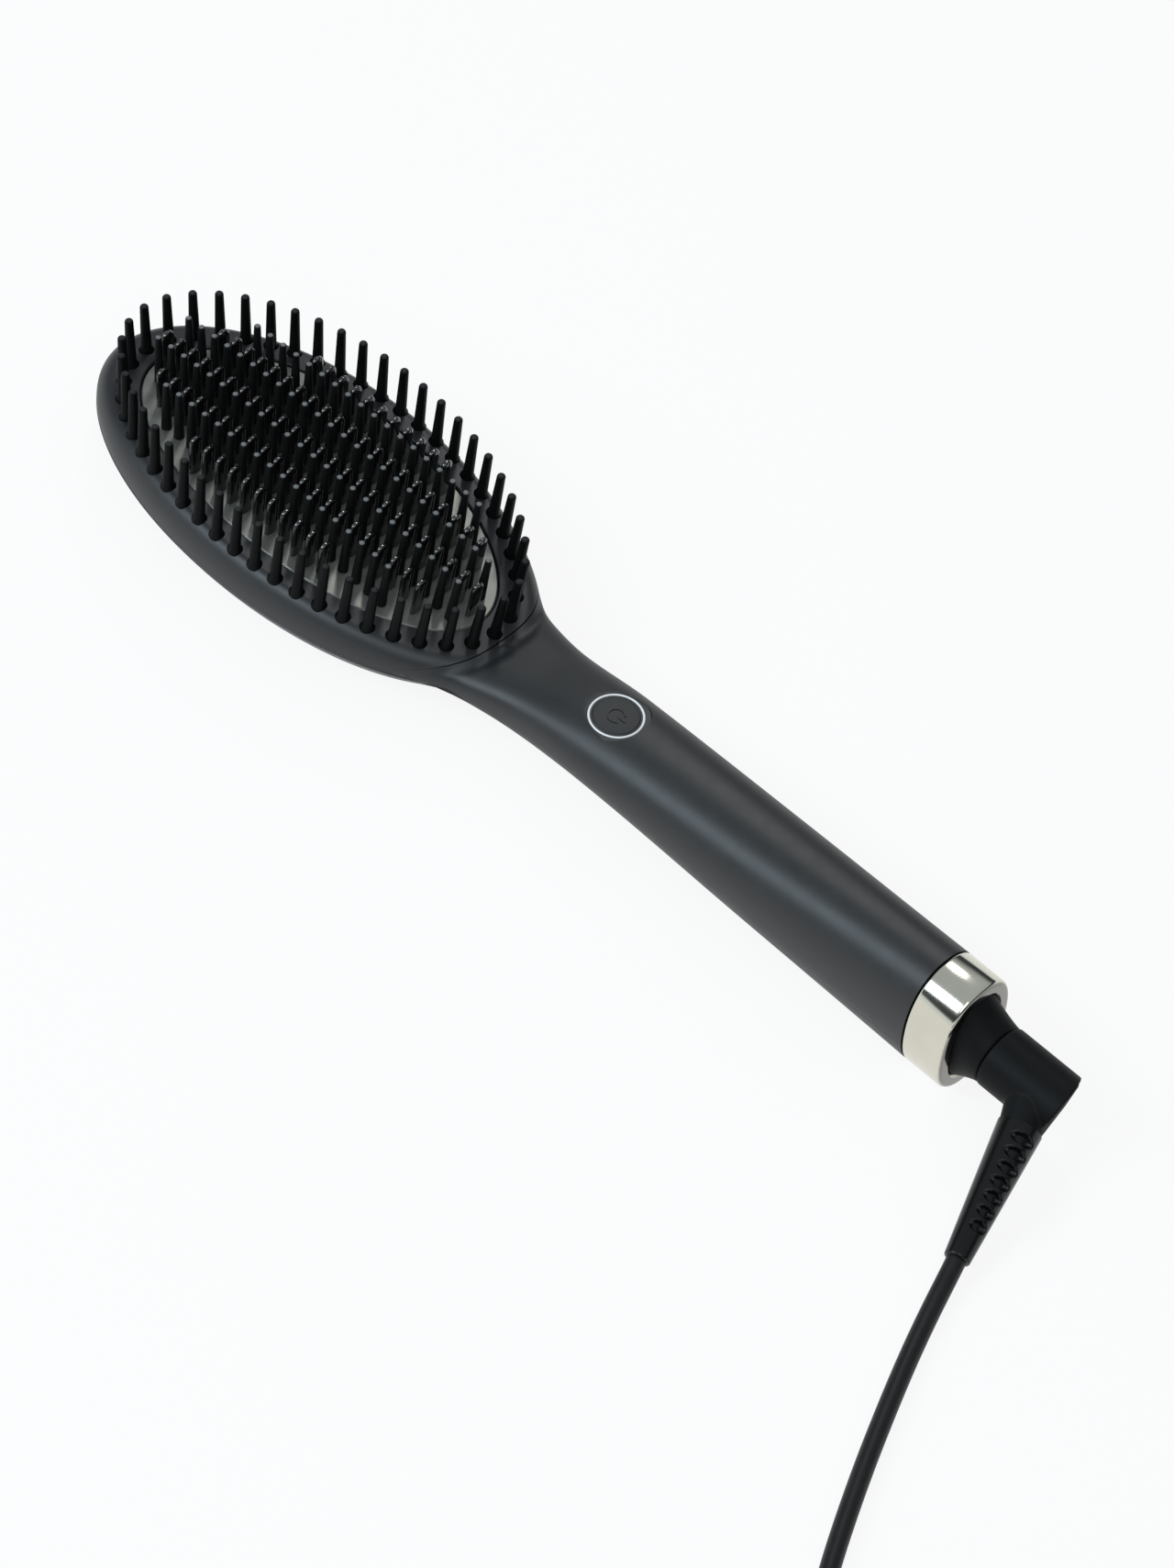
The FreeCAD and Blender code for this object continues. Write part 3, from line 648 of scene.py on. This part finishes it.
# Tie round the turns: a soft flat strap
tie_angle = coil_start_angle + math.pi / 2
tie_out = Vector((math.cos(tie_angle), math.sin(tie_angle), 0))
tie_along = Vector((-tie_out.y, tie_out.x, 0))
tie_inner = coil_inner_radius - coil_pitch - cord_diameter / 2 - tie_gap
tie_outer = coil_outer_radius + cord_diameter / 2 + tie_gap
tie_top = route[-1].z + coil_pitch + cord_diameter / 2 + tie_lift
tie_middle_radius = (tie_inner + tie_outer) / 2
tie_half_span = (tie_outer - tie_inner + tie_thickness) / 2
tie_half_height = tie_top / 2
tie_rings = []
for corner, (out_sign, up_sign) in enumerate(((1, 1), (-1, 1), (-1, -1), (1, -1))):
    for i in range(tie_corner_steps + 1):
        angle = math.pi / 2 * (corner + i / tie_corner_steps)
        ring = []
        for across, thick in tie_section:
            reach = tie_corner + thick * tie_thickness
            out = out_sign * (tie_half_span - tie_corner) + reach * math.cos(angle)
            up = up_sign * (tie_half_height - tie_corner) + reach * math.sin(angle)
            place = coil_centre + tie_out * (tie_middle_radius + out) + tie_along * across * tie_width
            place.z = (tie_top + tie_thickness) / 2 + up
            ring.append(place - head_shift)
        tie_rings.append(ring)
tie = mesh_object("cord_tie_strap", ring_mesh(tie_rings, loop=True), tie_black)
dress(tie, "brush", "tie_black", "cord_tie")

# Plug at the cord's end
plug_way = (tail[-1] - tail[-2]).normalized()
plug_side = Vector((-plug_way.y, plug_way.x, 0))
plug_start = tail[-1] - head_shift
plug_half_height = tail[-1].z
plug_profile = list(plug_back)
for groove_start in plug_groove_starts:
    plug_profile += [(groove_start + along, wide, high) for along, wide, high in plug_groove]
plug_profile += plug_front
plug_rings = []
for along, wide, high in plug_profile:
    middle = plug_start + plug_way * along * plug_length
    plug_rings.append(soft_oval(middle, plug_side * wide * plug_half_width,
                                Vector((0, 0, high * plug_half_height)), plug_squareness, plug_sides))
plug = mesh_object("plug_housing", ring_mesh(plug_rings), plug_black, plug_sharp_angle)
dress(plug, "brush", "plug_black", "plug_body")
pin_profile = [(plug_pin_radius, -plug_pin_sink)]
pin_profile += rounding(plug_pin_radius, plug_pin_edge, plug_pin_length, plug_pin_edge_steps)
for number, offset in ((1, -plug_pin_spacing / 2), (2, plug_pin_spacing / 2)):
    foot = plug_start + plug_way * plug_length + plug_side * offset
    pin_skin = moved(lathe(pin_profile, plug_pin_sides), facing(foot, plug_way))
    pin = mesh_object(f"plug_contact_{number}", pin_skin, pin_brass)
    dress(pin, "brush", "pin_brass", f"plug_pin_{number}")


# Head: back shell, bezel with sockets, heater plate
def back_height(reach):
    """Height on the back shell where its outline has grown by a share from the flat to the rim."""
    return reach ** (1 / back_swell) * (seam_height - seam_chamfer)


def dome(drop):
    """Height over the plan, a drop below the head's dome, as a function of x."""
    return lambda x: head_height - dome_radius + math.sqrt(dome_radius ** 2 - x ** 2) - drop


def shoulder_height(inset):
    """Height of the bezel's shoulder, at a distance in from its outline, as a function of x."""
    level = math.sqrt(1 - min(max(1 - inset / shoulder_reach, 0), 1) ** 2)
    return lambda x: dome(0)(x) - (1 - level) * shoulder_drop_share * (dome(0)(x) - seam_height)


def round_plate(gap, height):
    """An oval round the heater plate, at a gap from it."""
    return oval(plate_half_length + gap, plate_half_width + gap, height)


def inside_rim(inset, height):
    """An oval at a distance in from the head's rim."""
    return oval(head_half_length - inset, head_half_width - inset, height)


def on_dome(skin, x, y, radius):
    """Stand a skin, made upright on Z = 0, on the dome at a place of the plan."""
    lean = Matrix.Rotation(math.asin(x / radius), 4, "Y")
    centre = Vector((0, 0, head_height - dome_radius))
    return moved(skin, Matrix.Translation(centre) @ lean @ Matrix.Translation(Vector((0, y, radius))))


def oval_places(half_length, half_width, count):
    """Places at equal distances round an oval."""
    fine = oval(half_length, half_width, 0, ring_search_steps)
    reached = [0.0]
    for a, b in zip(fine, fine[1:] + fine[:1]):
        reached.append(reached[-1] + (b - a).length)
    places = []
    for i in range(count):
        aim = reached[-1] * i / count
        places.append(fine[min(range(len(fine)), key=lambda k: abs(reached[k] - aim))])
    return places


back_rings = []
for i in range(back_steps + 1):
    reach = i / back_steps
    half_length = back_flat_half_length + reach * (head_half_length - back_flat_half_length)
    half_width = back_flat_half_width + reach * (head_half_width - back_flat_half_width)
    back_rings.append(oval(half_length, half_width, back_height(reach)))
back_rings.append(inside_rim(seam_chamfer, seam_height))
head_back = mesh_object("head_back", ring_mesh(back_rings), shell_black)
dress(head_back, "brush", "shell_black", "head_back_shell")

ledge_height = dome(plate_inset + plate_thickness)
bezel_rings = [round_plate(-bezel_ledge, seam_height), round_plate(-bezel_ledge, ledge_height),
               round_plate(plate_gap, ledge_height), round_plate(plate_gap, dome(plate_edge)),
               round_plate(plate_gap + plate_edge, dome(0))]
for i in range(shoulder_steps + 1):
    inset = shoulder_reach * (1 - math.sin(math.pi / 2 * i / shoulder_steps))
    bezel_rings.append(inside_rim(inset, shoulder_height(inset)))
bezel_rings.append(inside_rim(0, seam_height + seam_chamfer))
bezel_rings.append(inside_rim(seam_chamfer, seam_height))
bezel = mesh_object("head_bezel", ring_mesh(bezel_rings, loop=True), shell_black)
outer_places = oval_places(head_half_length - ring_end_inset, head_half_width - ring_side_inset, outer_count)
socket = lathe(((socket_radius, -socket_depth), (socket_radius, socket_depth)), socket_sides)
sockets = joined([on_dome(socket, p.x, p.y, dome_radius) for p in outer_places])
combine(bezel, mesh_object("sockets", sockets, shell_black), "DIFFERENCE")

plate_rings = [round_plate(0, ledge_height), round_plate(0, dome(plate_inset + plate_edge)),
               round_plate(-plate_edge, dome(plate_inset))]
for share in plate_ring_shares:
    plate_rings.append(oval(plate_half_length * share, plate_half_width * share, dome(plate_inset)))
dress(mesh_object("heat_plate", ring_mesh(plate_rings), plate_grey), "brush", "heater_grey", "heater_plate")

# Bristles: heated fins and pins row by row, and the ring of longer pins
fin_half_length = Vector((0, fin_length / 2, 0))
fin_half_thickness = Vector((fin_thickness / 2, 0, 0))
fin_rings = [soft_oval(Vector((0, 0, 0)), fin_half_thickness, fin_half_length, fin_squareness, fin_sides)]
for degrees in fin_arch_degrees:
    angle = math.radians(degrees)
    top = Vector((0, 0, fin_height - fin_length / 2 * (1 - math.sin(angle))))
    thick = fin_half_thickness * fin_top_share * math.cos(angle) ** fin_top_power
    fin_rings.append(soft_oval(top, thick, fin_half_length * math.cos(angle), fin_squareness, fin_sides))
fin_skin = ring_mesh(fin_rings)
inner_tip = rounding(inner_tip_radius, inner_tip_edge, inner_height, inner_tip_steps)
inner_skin = lathe([(inner_base_radius, 0)] + inner_tip, bristle_sides)
outer_foot = [(outer_foot_radius, -socket_depth), (outer_foot_radius, -outer_foot_edge_depth),
              (outer_base_radius, outer_foot_top)]
outer_tip = rounding(outer_tip_radius, outer_tip_edge, outer_height, outer_tip_steps)
outer_skin = lathe(outer_foot + outer_tip, bristle_sides)
array_half_length = plate_half_length - array_inset
array_half_width = plate_half_width - array_inset
row_count = int(array_half_width / row_pitch)
for row in range(-row_count, row_count + 1):
    number = row + row_count + 1
    y = row * row_pitch
    reach = array_half_length * math.sqrt(1 - (y / array_half_width) ** 2)
    is_fin_row = row % 2 == 0
    shift = 0 if is_fin_row else bristle_pitch / 2
    first = -int((reach + shift) / bristle_pitch)
    places = [shift + i * bristle_pitch for i in range(first, 1 - first)]
    skin = fin_skin if is_fin_row else inner_skin
    in_row = joined([on_dome(skin, x, y, dome_radius - plate_inset) for x in places if abs(x) <= reach])
    if is_fin_row:
        fins = mesh_object(f"fins_{number}", in_row, fin_black, bristle_sharp_angle)
        dress(fins, "brush", "fin_black", f"heating_fins_row_{number}")
    else:
        inner_pins = mesh_object(f"pins_{number}", in_row, inner_grey, bristle_sharp_angle)
        dress(inner_pins, "brush", "bristle_grey", f"inner_bristles_row_{number}")
outer = joined([on_dome(outer_skin, p.x, p.y, dome_radius) for p in outer_places])
outer_pins = mesh_object("ring_pins", outer, outer_black, bristle_sharp_angle)
dress(outer_pins, "brush", "bristle_black", "outer_bristles")


# Handle shells
def along_handle(x):
    """Half width, underside, top and squareness of the handle at x, on curves through its stations."""
    last = len(handle_stations) - 1
    i = max(k for k in range(last) if k == 0 or handle_stations[k][0] <= x)
    start, end = handle_stations[i], handle_stations[i + 1]
    before, after = handle_stations[max(i - 1, 0)], handle_stations[min(i + 2, last)]
    span = end[0] - start[0]
    t = (x - start[0]) / span
    values = []
    for k in range(1, len(start)):
        start_slope = span * (end[k] - before[k]) / (end[0] - before[0])
        end_slope = span * (after[k] - start[k]) / (after[0] - start[0])
        values.append((2 * t ** 3 - 3 * t ** 2 + 1) * start[k] + (t ** 3 - 2 * t ** 2 + t) * start_slope
                      + (3 * t ** 2 - 2 * t ** 3) * end[k] + (t ** 3 - t ** 2) * end_slope)
    return values


@functools.lru_cache(maxsize=None)
def head_profile(x):
    """The head's half section at x, from its underside round the rim to its top, as places and heights."""
    profile = []
    span = head_half_length - back_flat_half_length
    first = max((x - back_flat_half_length) / span, 0)
    for i in range(profile_steps + 1):
        reach = first + (1 - first) * i / profile_steps
        half_length = back_flat_half_length + reach * span
        half_width = back_flat_half_width + reach * (head_half_width - back_flat_half_width)
        profile.append((half_width * math.sqrt(max(1 - (x / half_length) ** 2, 0)), back_height(reach)))
    for i in range(profile_steps + 1):
        inset = min(shoulder_reach, head_half_length - x) * (i / profile_steps) ** 2
        t = x / (head_half_length - inset)
        half_width = head_half_width - inset
        profile.append((half_width * math.sqrt(max(1 - t ** 2, 0)), shoulder_height(inset)(x)))
    return profile


def head_reach(x, middle, angle):
    """How far the head reaches at x from the handle's middle line, at an angle up from the side."""
    turns = [(math.atan2(z - middle, y), math.hypot(y, z - middle)) for y, z in head_profile(x)]
    if angle < turns[0][0]:
        return turns[0][1] * math.sin(turns[0][0]) / math.sin(angle)
    for (a, near), (b, far) in zip(turns, turns[1:]):
        if a <= angle < b:
            return near + (far - near) * (angle - a) / (b - a)
    return turns[-1][1] * math.sin(turns[-1][0]) / math.sin(angle)


def neck_point(x, angle, run, depth=0):
    """A point of the handle's skin at an angle up from its side, flush with the head at its seam."""
    half_width, bottom, top, squareness = along_handle(max(x, handle_stations[0][0]))
    middle = (bottom + top) / 2
    side = math.cos(angle)
    lift = math.sin(angle)
    side_part = abs(side / half_width) ** squareness
    lift_part = abs(lift * 2 / (top - bottom)) ** squareness
    reach = (side_part + lift_part) ** (-1 / squareness)
    if x < head_half_length:
        head = head_reach(x, middle, math.asin(lift))
        share = min(max(1 / 2 + (reach - head) / neck_blend / 2, 0), 1)
        soft = head + (reach - head) * share + neck_blend * share * (1 - share)
        t = min(run / neck_blend_run, 1)
        reach = head + (soft - head) * t * t * (3 - 2 * t)
    return Vector((x, (reach - depth) * side, middle + (reach - depth) * lift))


def parting_angle(x, level, run):
    """The angle up from the side at which the handle's skin is at a level."""
    low, high = -math.pi / 2, math.pi / 2
    for _ in range(search_steps):
        angle = (low + high) / 2
        if neck_point(x, angle, run).z < level:
            low = angle
        else:
            high = angle
    return angle


def seam_place(y):
    """Where the seam between bezel and handle runs, at a distance from the brush's middle line."""
    share = min(abs(y) / neck_seam_side_y, 1)
    return neck_seam_x - (neck_seam_x - neck_seam_side_x) * share ** neck_seam_power


def shell_rings(is_upper):
    """Sections of the upper or lower handle shell from the head to the collar, flat at the parting line."""
    level = handle_seam + (parting_chamfer if is_upper else -parting_chamfer)
    turn = math.pi if is_upper else -math.pi

    def at(x, share, run, depth=0):
        """A point of the shell at x, a share of the way round from one parting line to the other."""
        edge = parting_angle(x, level, run)
        return neck_point(x, edge + (turn - 2 * edge) * share, run, depth)

    tracks = []
    for k in range(section_sides + 1):
        share = k / section_sides
        start = neck_seam_side_x
        for _ in range(search_steps if is_upper else 0):
            start = seam_place(at(start, share, 0).y)
        track = [at(start, share, 0, neck_seam_depth)]
        for i in range(handle_steps + 1):
            run = (collar_low.x - start) * (i / handle_steps) ** handle_step_power
            track.append(at(start + run, share, run))
        tracks.append(track)
    rings = []
    for i in range(handle_steps + 2):
        ring = [track[i] for track in tracks]
        for end in (ring[-1], ring[0]):
            ring.append(Vector((end.x, end.y - math.copysign(parting_chamfer, end.y), handle_seam)))
        rings.append(ring)
    return rings


neck_cut_line = []
for i in range(2 * neck_cut_steps + 1):
    share = i / neck_cut_steps - 1
    y = neck_seam_side_y * share
    neck_cut_line.append((seam_place(y) - neck_seam_gap * (neck_seam_gap_share - share ** 2), y))
neck_cut_end = head_half_length + neck_cut_margin
neck_cut_line += [(neck_cut_end, neck_seam_side_y), (neck_cut_end, -neck_seam_side_y)]
neck_cut = ring_mesh([[Vector((x, y, height)) for x, y in neck_cut_line]
                      for height in (seam_height - neck_cut_margin, head_height + neck_cut_margin)])
combine(bezel, mesh_object("neck_cut", neck_cut, shell_black), "DIFFERENCE")
dress(bezel, "brush", "shell_black", "front_bezel")

button_place = Matrix.Translation((button_x, 0, 0))
recess_floor = along_handle(button_x)[2] - recess_depth
recess = lathe(((recess_radius, recess_floor), (recess_radius, head_height * 2)), turned_sides)
cover = mesh_object("handle_top", ring_mesh(shell_rings(True)), shell_black)
combine(cover, mesh_object("recess", moved(recess, button_place), shell_black), "DIFFERENCE")
dress(cover, "brush", "shell_black", "handle_cover")
back = mesh_object("handle_bottom", ring_mesh(shell_rings(False)), shell_black)
dress(back, "brush", "shell_black", "handle_back_shell")

# Power button with its lit ring and a plain raised symbol
cap_foot = recess_floor - button_sink
cap_profile = [(button_radius - button_foot_edge, cap_foot), (button_radius, cap_foot + button_foot_edge)]
cap_profile += rounding(button_radius, button_edge, button_top, button_edge_steps)


def symbol_ring(middle, sideways):
    """The section of the symbol's stroke at a place on the button, spread to its sides."""
    return [middle + sideways * across * symbol_width + Vector((0, 0, button_top + lift * symbol_lift))
            for across, lift in symbol_section]


symbol_gap = math.radians(symbol_gap_angle)
symbol_arc = []
for i in range(symbol_steps + 1):
    angle = symbol_gap + (2 * math.pi - 2 * symbol_gap) * i / symbol_steps
    out = Vector((math.cos(angle), math.sin(angle), 0))
    symbol_arc.append(symbol_ring(out * symbol_radius, out))
symbol_line = [symbol_ring(Vector((x, 0, 0)), Vector((0, 1, 0))) for x in symbol_stroke]
button_skin = joined([lathe(cap_profile, button_sides), ring_mesh(symbol_arc), ring_mesh(symbol_line)])
button = mesh_object("button_cap", moved(button_skin, button_place), button_black)
dress(button, "button", "button_black", "power_button")
light_profile = (
    (light_inner_radius, recess_floor - light_sink), (light_outer_radius, recess_floor - light_sink),
    (light_outer_radius, light_top - light_edge), (light_outer_radius - light_edge, light_top),
    (light_inner_radius + light_edge, light_top), (light_inner_radius, light_top - light_edge),
)
light_skin = ring_mesh([circle(radius, height, turned_sides) for radius, height in light_profile], loop=True)
halo = mesh_object("button_light", moved(light_skin, button_place), lit_white)
dress(halo, "brush", "lit_white", "light_ring")


# Collar, boss and swivel
def end_section(x, half_width, half_height, squareness, sides):
    """A section of the handle's end about the swivel's axis."""
    return soft_oval(Vector((x, 0, swivel_height)), Vector((0, half_width, 0)), Vector((0, 0, half_height)),
                     squareness, sides)


end_half_width, end_bottom, end_top, end_squareness = handle_stations[-1][1:]
end_half_height = (end_top - end_bottom) / 2
collar_profile = [(collar_low.x + collar_start[0][0], collar_wall)]
collar_profile += [(collar_low.x + along, inset) for along, inset in collar_start]
for i in range(collar_edge_steps + 1):
    angle = math.pi / 2 * i / collar_edge_steps
    collar_profile.append((collar_high.x - collar_edge * (1 - math.sin(angle)),
                           collar_edge * (1 - math.cos(angle))))
collar_profile.append((collar_high.x, collar_wall - collar_bore_edge))
collar_profile.append((collar_high.x - collar_bore_edge, collar_wall))
collar_rings = [end_section(x, end_half_width - inset, end_half_height - inset, end_squareness, collar_sides)
                for x, inset in collar_profile]
collar = mesh_object("collar", ring_mesh(collar_rings, loop=True), collar_nickel)
dress(collar, "brush", "collar_nickel", "end_collar")

boss_foot_half_width = end_half_width - collar_wall - boss_foot_gap
boss_foot_half_height = swivel_height - collar_wall - boss_foot_gap
boss_start = collar_high.x - boss_foot_sink
boss_profile = []
for i in range(boss_steps + 1):
    t = i / boss_steps
    x = boss_start + (boss_high.x - boss_edge - boss_start) * t
    boss_profile.append((x, (1 - t) ** boss_flare_power, 0))
boss_profile = [(boss_low.x, 1, 0)] + boss_profile + [(boss_high.x, 0, boss_edge)]
boss_rings = []
for x, flare, inset in boss_profile:
    half_width = boss_radius + (boss_foot_half_width - boss_radius) * flare - inset
    half_height = boss_radius + (boss_foot_half_height - boss_radius) * flare - inset
    squareness = round_squareness + (end_squareness - round_squareness) * flare
    boss_rings.append(end_section(x, half_width, half_height, squareness, turned_sides))
dress(mesh_object("boss", ring_mesh(boss_rings), swivel_black), "brush", "swivel_black", "swivel_boss")

elbow_end = elbow_start + elbow_length
along_axis = Matrix.Translation((0, 0, swivel_height)) @ Matrix.Rotation(math.pi / 2, 4, "Y")
knuckle = rounding(elbow_radius, elbow_start_edge, elbow_start, elbow_start_steps, top=False)
knuckle += rounding(elbow_radius, elbow_edge, elbow_end + elbow_end_reach, elbow_edge_steps)
elbow = mesh_object("elbow", moved(lathe(knuckle, turned_sides), along_axis), swivel_black)
end_place = facing(Vector((elbow_end, 0, swivel_height)), Vector(elbow_end_way))
end_cut = lathe(((elbow_cut_size, 0), (elbow_cut_size, elbow_cut_size)), elbow_cut_sides)
combine(elbow, mesh_object("end_cut", moved(end_cut, end_place), swivel_black), "DIFFERENCE")
branch_foot = Vector((elbow_start + branch_offset, 0, swivel_height))
exit_across = (Vector((1, 0, 0)) - exit_way * exit_way.x).normalized()
exit_side = exit_way.cross(exit_across)
branch_rings = [soft_oval(branch_foot + exit_way * along, exit_across * half_length, exit_side * half_width,
                          round_squareness, branch_sides) for along, half_length, half_width in branch_sizes]
combine(elbow, mesh_object("branch", ring_mesh(branch_rings), swivel_black), "UNION")
blend_voxels = elbow.modifiers.new("voxels", "REMESH")
blend_voxels.mode = "VOXEL"
blend_voxels.voxel_size = elbow_voxel * MM
blend_soft = elbow.modifiers.new("soft", "SMOOTH")
blend_soft.factor = elbow_smoothing_share
blend_soft.iterations = elbow_smoothing
apply_modifiers(elbow, soft_sharp_angle)
dress(elbow, "swivel", "swivel_black", "cord_elbow")


# Strain relief
def window_dip(step, angle):
    """The share of a window's depth at a step along the strain relief and an angle round it."""
    turn = angle * window_columns / (2 * math.pi) - window_turn_share
    column = round(turn)
    row = window_count * step / relief_steps - (window_stagger if column % 2 else 0)
    across = (turn - column) / window_width_share
    upward = (row - round(row)) / window_height_share
    is_open = 0 < round(row) < window_count - 1
    return min(max((1 - across ** 2 - upward ** 2) * window_steepness, 0), 1) if is_open else 0


relief_frame = Matrix((exit_across, exit_side, exit_way)).transposed().to_4x4()
relief_frame.translation = branch_foot + exit_way * branch_reach
relief_rings = []
for i in range(relief_steps + 1):
    along = (relief_length - relief_edge) * i / relief_steps
    taper = relief_start_radius + (relief_end_radius - relief_start_radius) * i / relief_steps
    ring = []
    for k in range(relief_sides):
        angle = 2 * math.pi * k / relief_sides
        radius = taper - window_depth * window_dip(i, angle)
        ring.append(Vector((radius * math.cos(angle), radius * math.sin(angle), along)))
    relief_rings.append(ring)
for radius, along in rounding(relief_end_radius, relief_edge, relief_length, relief_edge_steps)[1:]:
    relief_rings.append(circle(radius, along, relief_sides))
relief_skin = moved(ring_mesh(relief_rings), relief_frame)
relief = mesh_object("cord_relief", relief_skin, relief_black, relief_sharp_angle)
dress(relief, "swivel", "relief_black", "strain_relief")

# Finishes of the inner pieces that keep their CAD shape
inner_finishes = {
    "ceramic_heater": ceramic_white, "heater_insulator": mica_tan, "heater_clamp": spring_steel,
    "temperature_sensor": sensor_black, "thermal_fuse": can_aluminium, "control_board": board_green,
    "tact_switch": sensor_black, "buzzer": sensor_black, "supply_capacitor": can_aluminium,
    "triac": sensor_black, "swivel_spindle": spindle_grey,
}
for name, finish in inner_finishes.items():
    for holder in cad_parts[name].material_slots:
        holder.material = finish

# Plain pale floor, white where it is seen directly, mirrored or seen through
floor_corners = [(x * floor_size, y * floor_size, 0) for x, y in ((-1, -1), (1, -1), (1, 1), (-1, 1))]
floor_mesh = bpy.data.meshes.new("floor")
floor_mesh.from_pydata(floor_corners, [], [(0, 1, 2, 3)])
floor = bpy.data.objects.new("floor", floor_mesh)
bpy.context.scene.collection.objects.link(floor)
floor_finish = bpy.data.materials.new("floor_white")
floor_finish.use_nodes = True
floor_nodes = floor_finish.node_tree.nodes
floor_links = floor_finish.node_tree.links
floor_shader = floor_nodes["Principled BSDF"]
floor_shader.inputs["Base Color"].default_value = (floor_tone, floor_tone, floor_tone, 1)
floor_shader.inputs["Roughness"].default_value = floor_roughness
floor_shader.inputs["Specular IOR Level"].default_value = 0.0
floor_glow = floor_nodes.new("ShaderNodeEmission")
floor_glow.inputs["Color"].default_value = (1, 1, 1, 1)
floor_path = floor_nodes.new("ShaderNodeLightPath")
floor_seen = floor_path.outputs["Is Camera Ray"]
for ray in ("Is Glossy Ray", "Is Transmission Ray"):
    either = floor_nodes.new("ShaderNodeMath")
    either.operation = "MAXIMUM"
    floor_links.new(floor_seen, either.inputs[0])
    floor_links.new(floor_path.outputs[ray], either.inputs[1])
    floor_seen = either.outputs["Value"]
floor_share = floor_nodes.new("ShaderNodeMath")
floor_share.operation = "MULTIPLY"
floor_share.inputs[1].default_value = floor_glow_share
floor_mix = floor_nodes.new("ShaderNodeMixShader")
floor_links.new(floor_seen, floor_share.inputs[0])
floor_links.new(floor_share.outputs["Value"], floor_mix.inputs["Fac"])
floor_links.new(floor_shader.outputs["BSDF"], floor_mix.inputs[1])
floor_links.new(floor_glow.outputs["Emission"], floor_mix.inputs[2])
floor_links.new(floor_mix.outputs["Shader"], floor_nodes["Material Output"].inputs["Surface"])
floor_mesh.materials.append(floor_finish)

# Sky with bright and dark bands for the metal to mirror
world = bpy.data.worlds.new("studio")
bpy.context.scene.world = world
world.use_nodes = True
world_nodes = world.node_tree.nodes
world_links = world.node_tree.links
sky_place = world_nodes.new("ShaderNodeTexCoord")
sky_height = world_nodes.new("ShaderNodeSeparateXYZ")
sky = world_nodes.new("ShaderNodeValToRGB")
for _ in sky_tones[2:]:
    sky.color_ramp.elements.new(sky_new_stop)
for stop, (height, level) in zip(sky.color_ramp.elements, sky_tones):
    stop.position = height
    stop.color = (*(level * tint for tint in sky_tint), 1)
world_links.new(sky_place.outputs["Generated"], sky_height.inputs["Vector"])
world_links.new(sky_height.outputs["Z"], sky.inputs["Fac"])
world_links.new(sky.outputs["Color"], world_nodes["Background"].inputs["Color"])

# Soft studio light
for name, (place, size, strength, tint) in studio_lights.items():
    light = bpy.data.lights.new(name, "AREA")
    light.shape = "RECTANGLE"
    light.size, light.size_y = size
    light.energy = strength
    light.color = tint
    lamp = bpy.data.objects.new(name, light)
    lamp.matrix_world = facing(Vector(place), (Vector(place) - lamp_aim).normalized())
    bpy.context.scene.collection.objects.link(lamp)

bpy.context.scene.view_settings.view_transform = "Standard"
